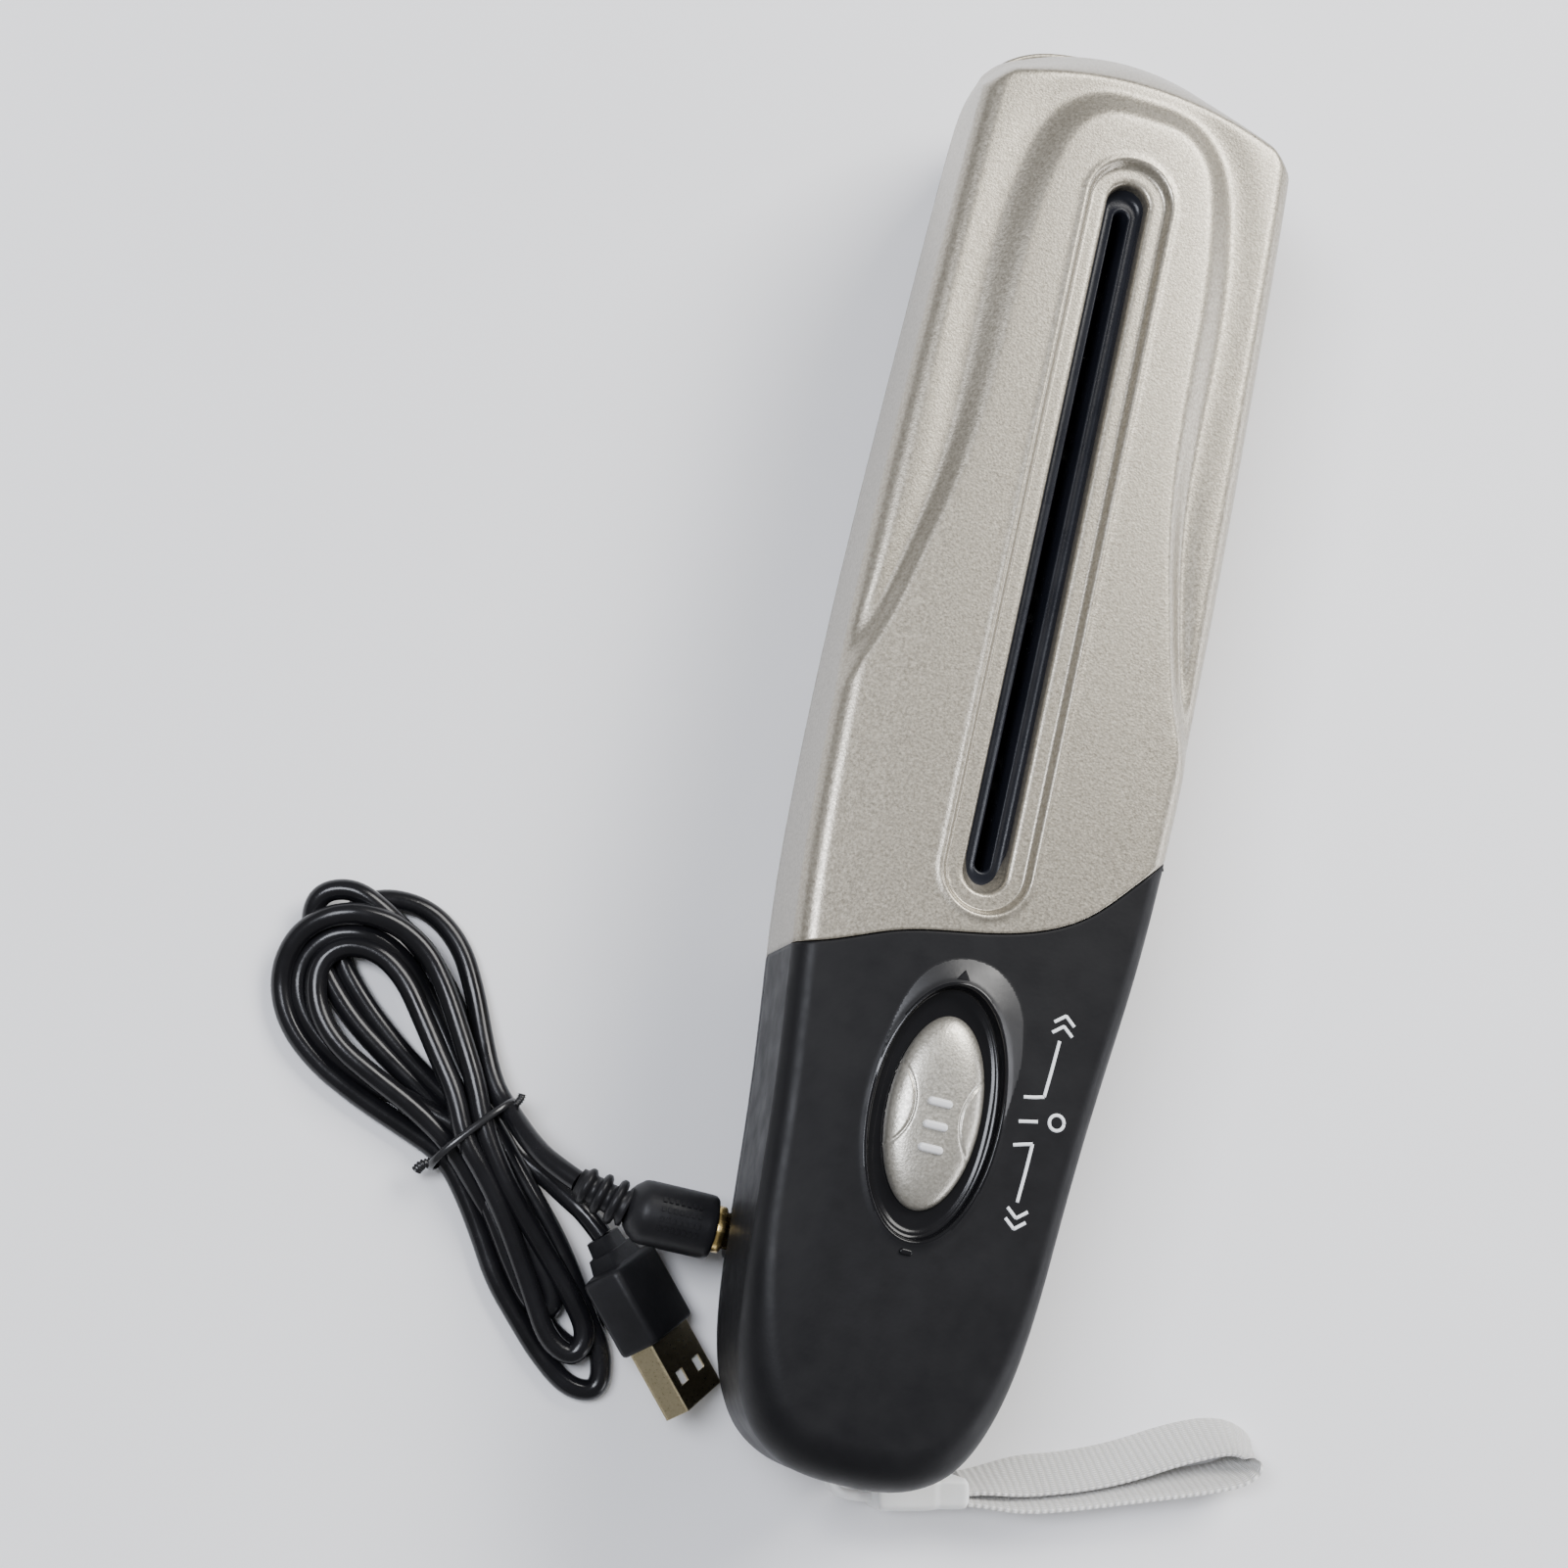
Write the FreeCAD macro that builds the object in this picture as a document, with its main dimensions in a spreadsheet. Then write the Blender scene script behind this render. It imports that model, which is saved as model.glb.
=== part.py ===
import FreeCAD, Part

import math
import os
import re

import Sketcher
from FreeCAD import Placement, Rotation, Vector

# Handheld paper shredder, lying on its back: +X right, +Y towards the head, +Z out of
# the front face. The origin is the centre of the footprint, on the surface it lies on.
# Every length is in millimetres.
DIMENSIONS = {
    # casing
    "half_length": 117.5,
    "hip_half": 28.25,
    "case_height": 46.0,
    "parting_height": 23.0,
    "wall": 1.5,
    "front_wall": 3.0,
    "front_round": 4.5,
    "shoulder_drop": 1.5,
    # paper slot
    "slot_centre": 30.0,
    "slot_length": 109.0,
    "slot_width": 2.4,
    "window_length": 116.0,
    "window_width": 6.6,
    "window_step": 1.0,
    "step_length": 124.0,
    "step_width": 13.6,
    "throat_top": 41.9,
    "throat_foot": 30.0,
    "exit_length": 110.0,
    "exit_width": 8.0,
    "exit_top": 13.0,
    "guide_wall": 1.0,
    # cutters
    "cutter_height": 22.0,
    "cutter_offset": 6.8,
    "disc_radius": 7.8,
    "disc_thick": 1.7,
    "disc_pitch": 4.0,
    "spacer_radius": 5.6,
    "axle_radius": 2.5,
    "bush_radius": 4.0,
    "bush_gap": 0.03,
    "plate_thick": 2.4,
    "plate_width": 36.0,
    "plate_height": 28.0,
    "low_plate": -28.0,
    "high_plate": 85.6,
    "rail_thick": 2.0,
    "comb_gap": 0.3,
    # gear train
    "sync_module": 0.8,
    "sync_teeth": 17.0,
    "final_module": 0.6,
    "final_teeth": 36.0,
    "idler_small_teeth": 12.0,
    "input_module": 0.5,
    "idler_big_teeth": 44.0,
    "pinion_teeth": 10.0,
    "gear_thick": 2.8,
    "motor_plate": -36.0,
    "motor_length": 18.0,
    "motor_width": 20.0,
    "motor_depth": 15.0,
    # batteries
    "cell_radius": 7.1,
    "cell_pitch": 14.4,
    "cell_length": 49.2,
    "cell_start": -106.2,
    "cell_shift": 0.2,
    "cell_low": 11.9,
    "tray_wall": 1.0,
    "door_width": 30.0,
    "door_head": -54.0,
    "door_gap": 0.3,
    "door_thick": 1.8,
    # switch
    "switch_centre": -62.0,
    "moat_length": 38.5,
    "moat_width": 20.0,
    "moat_depth": 1.8,
    "knob_length": 29.2,
    "knob_width": 14.4,
    "knob_top": 47.6,
    "knob_travel": 4.0,
    # power lead
    "jack_along": -84.8,
    "jack_height": 18.0,
    "jack_face": -21.4,
    "barrel_radius": 2.75,
    "plug_radius": 5.0,
    "plug_length": 15.4,
    "lead_diameter": 3.4,
    "hank_height": 9.0,
    # wrist strap
    "strap_width": 9.0,
    "strap_thick": 1.3,
    "loop_radius": 0.8,
    "lanyard_pin_radius": 1.2,
}

doc = FreeCAD.newDocument("PaperShredder")
sheet = doc.addObject("Spreadsheet::Sheet", "Dimensions")
for row, (alias, number) in enumerate(DIMENSIONS.items(), start=1):
    sheet.set("A%d" % row, alias)
    sheet.set("B%d" % row, str(number))
    sheet.setAlias("B%d" % row, alias)
doc.recompute()

NODES = []


def size(alias):
    """The value of one cell of the sheet."""
    return float(sheet.get(alias))


def formula(text):
    """Text with each alias written as a reference to the sheet."""
    def reference(match):
        word = match.group(0)
        return "Dimensions." + word if word in DIMENSIONS else word
    return re.sub(r"[a-z_]+", reference, text)


def number(text):
    """The value of a formula that uses the sheet's aliases."""
    words = re.findall(r"[a-z_]+|[0-9.]+|[-+*/()]", str(text))
    return worked_out(words)


def worked_out(words):
    """Add, subtract, multiply and divide, with brackets."""
    def factor():
        word = words.pop(0)
        if word == "-":
            return -factor()
        if word == "(":
            inner = total()
            words.pop(0)
            return inner
        return size(word) if word in DIMENSIONS else float(word)

    def product():
        result = factor()
        while words and words[0] in "*/":
            if words.pop(0) == "*":
                result *= factor()
            else:
                result /= factor()
        return result

    def total():
        result = product()
        while words and words[0] in "+-":
            if words.pop(0) == "+":
                result += product()
            else:
                result -= product()
        return result

    return total()


def bind(item, **formulas):
    """Bind properties of a document object to formulas."""
    for name, text in formulas.items():
        item.setExpression(name, formula(str(text)))


def place(item, x, y, z, rotation=None):
    """Put an object at a point given by formulas."""
    item.Placement = Placement(Vector(number(x), number(y), number(z)), rotation or Rotation())
    for axis, text in zip("xyz", (x, y, z)):
        item.setExpression("Placement.Base." + axis, formula(str(text)))
    return item


ALONG = {
    "x": Rotation(Vector(0, 1, 0), 90),
    "y": Rotation(Vector(1, 0, 0), -90),
    "z": Rotation(),
}


def box(name, x, y, z):
    """A box between two formulas on each axis."""
    item = doc.addObject("Part::Box", name)
    bind(item, Length="(%s)-(%s)" % (x[1], x[0]), Width="(%s)-(%s)" % (y[1], y[0]),
         Height="(%s)-(%s)" % (z[1], z[0]))
    return place(item, x[0], y[0], z[0])


def cylinder(name, radius, length, foot, along="z"):
    """A cylinder from its foot, along an axis."""
    item = doc.addObject("Part::Cylinder", name)
    bind(item, Radius=radius, Height=length)
    return place(item, foot[0], foot[1], foot[2], ALONG[along])


def cone(name, radii, length, foot, along="z"):
    """A cone frustum from its foot, along an axis."""
    item = doc.addObject("Part::Cone", name)
    bind(item, Radius1=radii[0], Radius2=radii[1], Height=length)
    return place(item, foot[0], foot[1], foot[2], ALONG[along])


def fuse(name, *items):
    item = doc.addObject("Part::MultiFuse", name)
    item.Shapes = list(items)
    return item


def cut(name, base, *tools):
    """The base with each tool taken away in turn."""
    for i, tool in enumerate(tools, start=1):
        last = i == len(tools)
        item = doc.addObject("Part::Cut", name if last else "%s_step_%d" % (name, i))
        item.Base = base
        item.Tool = tool
        base = item
    return base


def group(name, *items):
    """Identical pieces that share one node, as separate solids."""
    item = doc.addObject("Part::Compound", name)
    item.Links = list(items)
    return item


def freeform(name, shape, at=None):
    """A feature whose shape is worked out from the sheet by Part's own functions."""
    item = doc.addObject("Part::Feature", name)
    item.Shape = shape
    if at:
        item.Placement = at
    return item


def node(item, label):
    """Name a finished sub-part and keep it for writing."""
    item.Label = label
    NODES.append(item)
    return item


def origin_plane(body, role):
    for feature in body.Origin.OriginFeatures:
        if feature.Role == role:
            return feature
    raise ValueError(role)


def new_sketch(body, role, name):
    sketch = body.newObject("Sketcher::SketchObject", name)
    sketch.AttachmentSupport = [(origin_plane(body, role), "")]
    sketch.MapMode = "FlatFace"
    return sketch


def sketch_rectangle(sketch, width, height):
    """A rectangle centred on the sketch's origin, its sides bound to formulas."""
    a, b = number(width) / 2, number(height) / 2
    corners = [Vector(-a, -b, 0), Vector(a, -b, 0), Vector(a, b, 0), Vector(-a, b, 0)]
    first = sketch.GeometryCount
    for i in range(4):
        sketch.addGeometry(Part.LineSegment(corners[i], corners[(i + 1) % 4]), False)
    for i in range(4):
        sketch.addConstraint(Sketcher.Constraint("Coincident", first + i, 2, first + (i + 1) % 4, 1))
    for i, kind in enumerate(("Horizontal", "Vertical", "Horizontal", "Vertical")):
        sketch.addConstraint(Sketcher.Constraint(kind, first + i))
    sketch.addConstraint(Sketcher.Constraint("Symmetric", first, 1, first + 1, 2, -1, 1))
    across = sketch.addConstraint(Sketcher.Constraint("DistanceX", first, 1, first, 2, 2 * a))
    sketch.setExpression("Constraints[%d]" % across, formula(str(width)))
    up = sketch.addConstraint(Sketcher.Constraint("DistanceY", first + 1, 1, first + 1, 2, 2 * b))
    sketch.setExpression("Constraints[%d]" % up, formula(str(height)))


def sketch_circle(sketch, x, y, radius):
    """A circle held at a point, its radius bound to a formula."""
    centre = Vector(number(x), number(y), 0)
    circle = sketch.addGeometry(Part.Circle(centre, Vector(0, 0, 1), number(radius)), False)
    for kind, text in (("DistanceX", x), ("DistanceY", y)):
        value = number(text)
        if abs(value) < 1e-9:
            other = "DistanceX" if kind == "DistanceX" else "DistanceY"
            sketch.addConstraint(Sketcher.Constraint(other, -1, 1, circle, 3, 0.0))
            continue
        ends = (-1, 1, circle, 3) if value > 0 else (circle, 3, -1, 1)
        held = sketch.addConstraint(Sketcher.Constraint(kind, *ends, abs(value)))
        sign = "" if value > 0 else "-"
        sketch.setExpression("Constraints[%d]" % held, formula("%s(%s)" % (sign, text)))
    bound = sketch.addConstraint(Sketcher.Constraint("Radius", circle, number(radius)))
    sketch.setExpression("Constraints[%d]" % bound, formula(str(radius)))


def plate(name, role, rectangle, holes, thick, at, edge_round=None, turn=None):
    """A padded rectangle with round holes, as a PartDesign body."""
    body = doc.addObject("PartDesign::Body", name)
    sketch = new_sketch(body, role, name + "_sketch")
    sketch_rectangle(sketch, *rectangle)
    for hole in holes:
        sketch_circle(sketch, *hole)
    pad = body.newObject("PartDesign::Pad", name + "_pad")
    pad.Profile = sketch
    bind(pad, Length=thick)
    if edge_round:
        doc.recompute()
        rounding = body.newObject("PartDesign::Fillet", name + "_round")
        edges = ["Edge%d" % i for i, edge in enumerate(pad.Shape.Edges, start=1)
                 if edge_round[1](edge)]
        rounding.Base = (pad, edges)
        bind(rounding, Radius=edge_round[0])
        body.Tip = rounding
    return place(body, *at, rotation=turn)


def stadium(name, length, width, z, centre="slot_centre"):
    """An upright prism with two straight sides along Y and two round ends."""
    straight = "(%s)-(%s)" % (length, width)
    middle = box(name + "_middle", ("-(%s)/2" % width, "(%s)/2" % width),
                 ("%s-(%s)/2" % (centre, straight), "%s+(%s)/2" % (centre, straight)), z)
    ends = []
    for sign in "-+":
        foot = ("0", "%s%s(%s)/2" % (centre, sign, straight), z[0])
        ends.append(cylinder(name + ("_foot" if sign == "-" else "_head"),
                             "(%s)/2" % width, "(%s)-(%s)" % (z[1], z[0]), foot))
    return fuse(name, middle, *ends)


# ---------------------------------------------------------------- casing outline

def half_outline():
    """Half-widths of the casing from the head end to the handle end."""
    hip = size("hip_half")
    end = size("half_length")
    return [
        (0.0, end), (0.32 * hip, end - 0.5), (0.60 * hip, end - 2.6), (0.80 * hip, end - 7.2),
        (0.905 * hip, end - 14.0), (0.935 * hip, end - 22.0), (0.958 * hip, end - 42.0),
        (0.985 * hip, end - 73.0), (hip, end - 105.0), (0.985 * hip, end - 133.0),
        (0.948 * hip, end - 152.0), (0.88 * hip, end - 170.0), (0.825 * hip, end - 187.0),
        (0.782 * hip, end - 205.0), (0.737 * hip, end - 216.0), (0.655 * hip, end - 224.5),
        (0.53 * hip, end - 230.3), (0.30 * hip, end - 234.1), (0.0, -end),
    ]


def closed_curve(points):
    curve = Part.BSplineCurve()
    curve.interpolate([Vector(x, y, 0) for x, y in points], PeriodicFlag=True)
    return curve


def case_outline(inset=0.0):
    """The casing's outline, or the same curve moved inwards."""
    half = half_outline()
    points = half + [(-x, y) for x, y in reversed(half[1:-1])]
    curve = closed_curve(points)
    if not inset:
        return curve
    moved = []
    for x, y in points:
        tangent = curve.tangent(curve.parameter(Vector(x, y, 0)))[0]
        inward = Vector(tangent.y, -tangent.x, 0)
        if inward.x * x + inward.y * y > 0:
            inward = -inward
        moved.append((x + inset * inward.x, y + inset * inward.y))
    return closed_curve(moved)


def prism(curve, low, high):
    """A closed curve raised from one height to another."""
    face = Part.Face(Part.Wire(curve.toShape()))
    solid = face.extrude(Vector(0, 0, high - low))
    solid.translate(Vector(0, 0, low))
    return solid


def rounded_prism(curve, low, high, radius, rounded_at):
    solid = prism(curve, low, high)
    edges = [e for e in solid.Edges if abs(e.BoundBox.ZMax - rounded_at) < 1e-3
             and abs(e.BoundBox.ZMin - rounded_at) < 1e-3]
    return solid.makeFillet(radius, edges)


# Profile of the head's sloping far end, as place along Y and height, front edge first.
END_SLOPE = [(100.6, 46.1), (103.2, 45.6), (105.2, 44.2), (108.0, 41.0), (111.0, 36.6),
             (114.1, 31.6), (116.5, 27.2), (117.9, 21.0)]
END_SLOPE_CENTRE = 37.6


def end_slope(back=0.0, down=0.0):
    """Everything beyond the sloping far end, a shape turned about an upright axis."""
    points = [Vector(0, y - back, z - down) for y, z in END_SLOPE]
    curve = Part.BSplineCurve()
    curve.interpolate(points)
    far, top = 150.0, 60.0
    low_far = Vector(0, far, points[-1].z)
    high_far = Vector(0, far, top)
    high_near = Vector(0, points[0].y, top)
    edges = [curve.toShape(), Part.LineSegment(points[-1], low_far).toShape(),
             Part.LineSegment(low_far, high_far).toShape(),
             Part.LineSegment(high_far, high_near).toShape(),
             Part.LineSegment(high_near, points[0]).toShape()]
    face = Part.Face(Part.Wire(edges))
    axis = Vector(0, END_SLOPE_CENTRE, 0)
    face.rotate(axis, Vector(0, 0, 1), -60)
    return face.revolve(axis, Vector(0, 0, 1), 120)


def front_blank():
    """The upper half of the casing, hollow, with a rounded front edge."""
    wall = size("wall")
    low, high = size("parting_height"), size("case_height")
    outer = rounded_prism(case_outline(), low, high, size("front_round"), high)
    inner_top = high - size("front_wall")
    inner = rounded_prism(case_outline(wall), low - 1, inner_top, size("front_round") - wall,
                          inner_top)
    outer = outer.cut(end_slope())
    inner = inner.cut(end_slope(1.9, 2.4))
    return outer.cut(inner).Solids[0]


# Height and inset of the sections of the lower casing, from the flat rear to the parting.
REAR_SECTIONS = [(0.0, 7.8), (1.0, 6.5), (3.0, 5.0), (6.5, 3.5), (11.0, 2.1), (17.0, 0.9),
                 (23.0, 0.0)]


def rear_body(inset=0.0, floor=0.0):
    """The lower half of the casing as a solid that narrows towards the rear."""
    wires = []
    high = size("parting_height")
    for height, narrowing in REAR_SECTIONS:
        level = floor + height * (high - floor) / high
        wire = Part.Wire(case_outline(narrowing + inset).toShape())
        wire.translate(Vector(0, 0, level))
        wires.append(wire)
    return Part.makeLoft(wires, True, False)


def rear_blank():
    """The lower half of the casing, hollow."""
    wall = size("wall")
    return rear_body().cut(rear_body(wall, wall)).Solids[0]


def head_region():
    """Everything on the head's side of the wavy seam between silver and black covers."""
    seam = [(-60, -42.0), (-42, -42.8), (-25.0, -42.0), (-12.5, -37.4), (-3.5, -35.2),
            (6.0, -33.2), (16.3, -28.4), (27.0, -17.0), (60, 14.0)]
    curve = Part.BSplineCurve()
    curve.interpolate([Vector(x, y, 0) for x, y in seam])
    first, last = Vector(*seam[0], 0), Vector(*seam[-1], 0)
    far_left, far_right = Vector(-60, 160, 0), Vector(60, 160, 0)
    edges = [curve.toShape(), Part.LineSegment(last, far_right).toShape(),
             Part.LineSegment(far_right, far_left).toShape(),
             Part.LineSegment(far_left, first).toShape()]
    solid = Part.Face(Part.Wire(edges)).extrude(Vector(0, 0, 80))
    solid.translate(Vector(0, 0, -10))
    return solid


def shoulder_cut():
    """The lower ground on both sides of the raised bottle-shaped panel."""
    top = size("case_height")
    panel = [(0, 101.5), (7.0, 100.8), (12.5, 96.5), (15.5, 88.5), (17.4, 74.0), (18.1, 55.0),
             (19.8, 34.0), (21.9, 20.0), (24.6, 6.0), (29.5, -6.0)]
    curve = Part.BSplineCurve()
    points = [(-x, y) for x, y in reversed(panel[1:])] + panel
    curve.interpolate([Vector(x, y, 0) for x, y in points])
    left, right = Vector(-29.5, -6.0, 0), Vector(29.5, -6.0, 0)
    low_left, low_right = Vector(-29.5, -20, 0), Vector(29.5, -20, 0)
    edges = [curve.toShape(), Part.LineSegment(right, low_right).toShape(),
             Part.LineSegment(low_right, low_left).toShape(),
             Part.LineSegment(low_left, left).toShape()]
    raised = Part.Face(Part.Wire(edges)).extrude(Vector(0, 0, 10))
    raised.translate(Vector(0, 0, top - 5))
    ground = Part.makeBox(80, 130, 5, Vector(-40, -6, top - size("shoulder_drop")))
    return Part.makeCompound(ground.cut(raised).Solids)


# ---------------------------------------------------------------- cover screws

SCREW_ROWS = [(101.0, 18.5), (30.0, 21.0), (-47.0, 18.6)]
SCREW_PLACES = [(side * x, y) for y, x in SCREW_ROWS for side in (-1, 1)]
BOSS_RADIUS = 2.6
SCREW_HEAD_RADIUS = 1.9
SCREW_HEAD_SEAT = 6.0


def upright(radius, low, high, x, y):
    return Part.makeCylinder(radius, high - low, Vector(x, y, low))


def with_bosses(shell, radius, low, high, bores):
    """Screw bosses added to a shell, then bored to each radius over its stretch."""
    limits = shell.BoundBox
    places = [(x, y) for x, y in SCREW_PLACES if limits.YMin + 8 < y < limits.YMax - 8]
    shell = shell.fuse([upright(radius, low, high, x, y) for x, y in places])
    for bore_radius, bore_low, bore_high in bores:
        for x, y in places:
            shell = shell.cut(upright(bore_radius, bore_low, bore_high, x, y))
    return shell


def cover_screws():
    screws = []
    for i, (x, y) in enumerate(SCREW_PLACES):
        head = cylinder("cover_screw_head_%d" % i, SCREW_HEAD_RADIUS, 1.8, (x, y, SCREW_HEAD_SEAT - 1.8))
        shank = cylinder("cover_screw_shank_%d" % i, 1.1, 26.0, (x, y, SCREW_HEAD_SEAT - 0.2))
        drive = box("cover_screw_drive_%d" % i, (x - 1.5, x + 1.5), (y - 0.3, y + 0.3),
                    (SCREW_HEAD_SEAT - 1.8, SCREW_HEAD_SEAT - 1.1))
        whole = fuse("cover_screw_whole_%d" % i, head, shank)
        screws.append(cut("cover_screw_%d" % i, whole, drive))
    return group("cover_screw_group", *screws)


# ---------------------------------------------------------------- covers

def stadium_shape(length, width, low, high):
    """An upright prism with two straight sides along Y and two round ends."""
    centre, straight = size("slot_centre"), length - width
    middle = Part.makeBox(width, straight, high - low,
                          Vector(-width / 2, centre - straight / 2, low))
    ends = [upright(width / 2, low, high, 0, centre + side * straight / 2) for side in (-1, 1)]
    return middle.fuse(ends).removeSplitter()


def block(x, y, z):
    """A box between two values on each axis."""
    return Part.makeBox(x[1] - x[0], y[1] - y[0], z[1] - z[0], Vector(x[0], y[0], z[0]))


def cover(label, shell, *tools):
    """One cover: its shell with openings cut in turn."""
    for tool in tools:
        shell = shell.cut(tool)
    node(freeform(label + "_shape", shell.Solids[0]), label)


def front_covers(head):
    top, parting = size("case_height"), size("parting_height")
    pilot = [(1.1, parting - 1, parting + 11)]
    blank = front_blank()
    shell = with_bosses(blank.common(head).Solids[0], BOSS_RADIUS, parting, top - 2.5, pilot)
    window = stadium_shape(size("window_length"), size("window_width"), top - 6, top + 1)
    step = stadium_shape(size("step_length"), size("step_width"), top - size("window_step"),
                         top + 1)
    cover("head_front_cover", shell, shoulder_cut(), window, step)
    shell = with_bosses(blank.cut(head).Solids[0], BOSS_RADIUS, parting, top - 2.5, pilot)
    middle, travel = size("switch_centre"), size("knob_travel")
    moat = oval_shape(size("moat_length"), size("moat_width"), 3)
    moat.translate(Vector(0, middle, top - size("moat_depth")))
    stem_slot = block((-3.1, 3.1), (middle - 4.4 - travel, middle + 4.4 + travel), (top - 5, top))
    cover("handle_front_cover", shell, moat, stem_slot)


def rear_covers(head):
    wall, parting, end = size("wall"), size("parting_height"), size("half_length")
    bores = [(1.3, -1, parting + 1), (SCREW_HEAD_RADIUS + 0.2, -1, SCREW_HEAD_SEAT)]
    blank = rear_blank()
    shell = with_bosses(blank.common(head).Solids[0], BOSS_RADIUS, 1.0, parting, bores)
    exit_cut = stadium_shape(size("exit_length"), size("exit_width"), -1, wall + 1)
    cover("head_rear_cover", shell, exit_cut)
    shell = with_bosses(blank.cut(head).Solids[0], BOSS_RADIUS, 1.0, parting, bores)
    shell = shell.fuse(block((1.5, 9.0), (3.2 - end, 7.6 - end), (15.4, 16.6)))
    jack_hole = Part.makeCylinder(4.2, 12, Vector(size("jack_face") - 6, size("jack_along"),
                                                  size("jack_height")), Vector(1, 0, 0))
    half = size("door_width") / 2 + size("door_gap")
    door_hole = block((-half, half), (-end - 1, size("door_head") + size("door_gap")),
                      (-1, size("door_thick") + 0.5))
    lanyard_hole = block((1.0, 11.0), (-end - 1, 6 - end), (9.4, 15.2))
    cover("handle_rear_cover", shell, jack_hole, door_hole, lanyard_hole)


def casing():
    head = head_region()
    front_covers(head)
    rear_covers(head)
    node(cover_screws(), "cover_screws")


def oval_shape(length, width, height):
    """An upright prism whose section is an ellipse, long along Y."""
    ellipse = Part.Ellipse(Vector(0, length / 2, 0), Vector(width / 2, 0, 0), Vector(0, 0, 0))
    return Part.Face(Part.Wire(ellipse.toShape())).extrude(Vector(0, 0, height))


# ---------------------------------------------------------------- paper path

def feed_throat():
    """Black insert below the window: a flange with a narrow slot and two guide walls."""
    flange = stadium("throat_flange", "window_length+4", "window_width+5",
                     ("throat_top-1.4", "case_height-front_wall"))
    sunk = stadium("throat_sunk", "window_length-0.6", "window_width-0.6",
                   ("throat_top", "case_height"))
    chute = stadium("throat_chute", "slot_length+2*guide_wall", "slot_width+2*guide_wall",
                    ("throat_foot", "throat_top-1"))
    slot = stadium("throat_slot", "slot_length", "slot_width", ("throat_foot-1", "case_height"))
    whole = fuse("throat_whole", flange, chute)
    node(cut("throat", whole, sunk, slot), "feed_throat")


def exit_chute():
    """Open guide between the cutters and the rear slot."""
    outer = stadium("exit_outer", "exit_length-0.4", "exit_width-0.4", ("0.4", "exit_top"))
    inner = stadium("exit_inner", "exit_length-2.4", "exit_width-2.4", ("-1", "exit_top+1"))
    node(cut("exit_whole", outer, inner), "exit_chute")


# ---------------------------------------------------------------- gears

def gear_profile(teeth, module, phase, backlash=0.10):
    """Involute gear outline in the XZ plane; phase is the angle of one tooth's centre."""
    pitch = teeth * module / 2
    base = pitch * math.cos(math.radians(20))
    outer = pitch + 0.95 * module
    root = pitch - 1.2 * module

    def involute(radius):
        if radius <= base:
            return 0.0
        turn = math.sqrt((radius / base) ** 2 - 1)
        return turn - math.atan(turn)

    half_pitch_angle = (math.pi * module / 2 - backlash) / (2 * pitch)
    start = max(root, base)
    radii = [start + (outer - start) * k / 3 for k in range(4)]
    flank = [(r, half_pitch_angle + involute(pitch) - involute(r)) for r in radii]
    points = []
    for i in range(int(teeth)):
        middle = phase + 2 * math.pi * i / teeth
        left = [(r, middle - half) for r, half in flank]
        right = [(r, middle + half) for r, half in reversed(flank)]
        foot = flank[0][1]
        points += [(root, middle - foot)] + left + right + [(root, middle + foot)]
    corners = [Vector(r * math.cos(a), 0, r * math.sin(a)) for r, a in points]
    tidy = [corners[0]]
    for corner in corners[1:]:
        if corner.distanceToPoint(tidy[-1]) > 1e-4:
            tidy.append(corner)
    return Part.makePolygon(tidy + [tidy[0]])


def gear_solid(teeth, module, phase, thick, low):
    solid = Part.Face(gear_profile(teeth, module, phase)).extrude(Vector(0, thick, 0))
    solid.translate(Vector(0, low, 0))
    return solid


def mesh_phase(direction, teeth, phase, other_teeth):
    """Phase of the second gear so that its gap faces the first gear's tooth."""
    step, other_step = 2 * math.pi / teeth, 2 * math.pi / other_teeth
    return direction + math.pi - other_step * (0.5 - (direction - phase) / step)


def round_bar(radius, low, high):
    return Part.makeCylinder(radius, high - low, Vector(0, low, 0), Vector(0, 1, 0))


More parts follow.
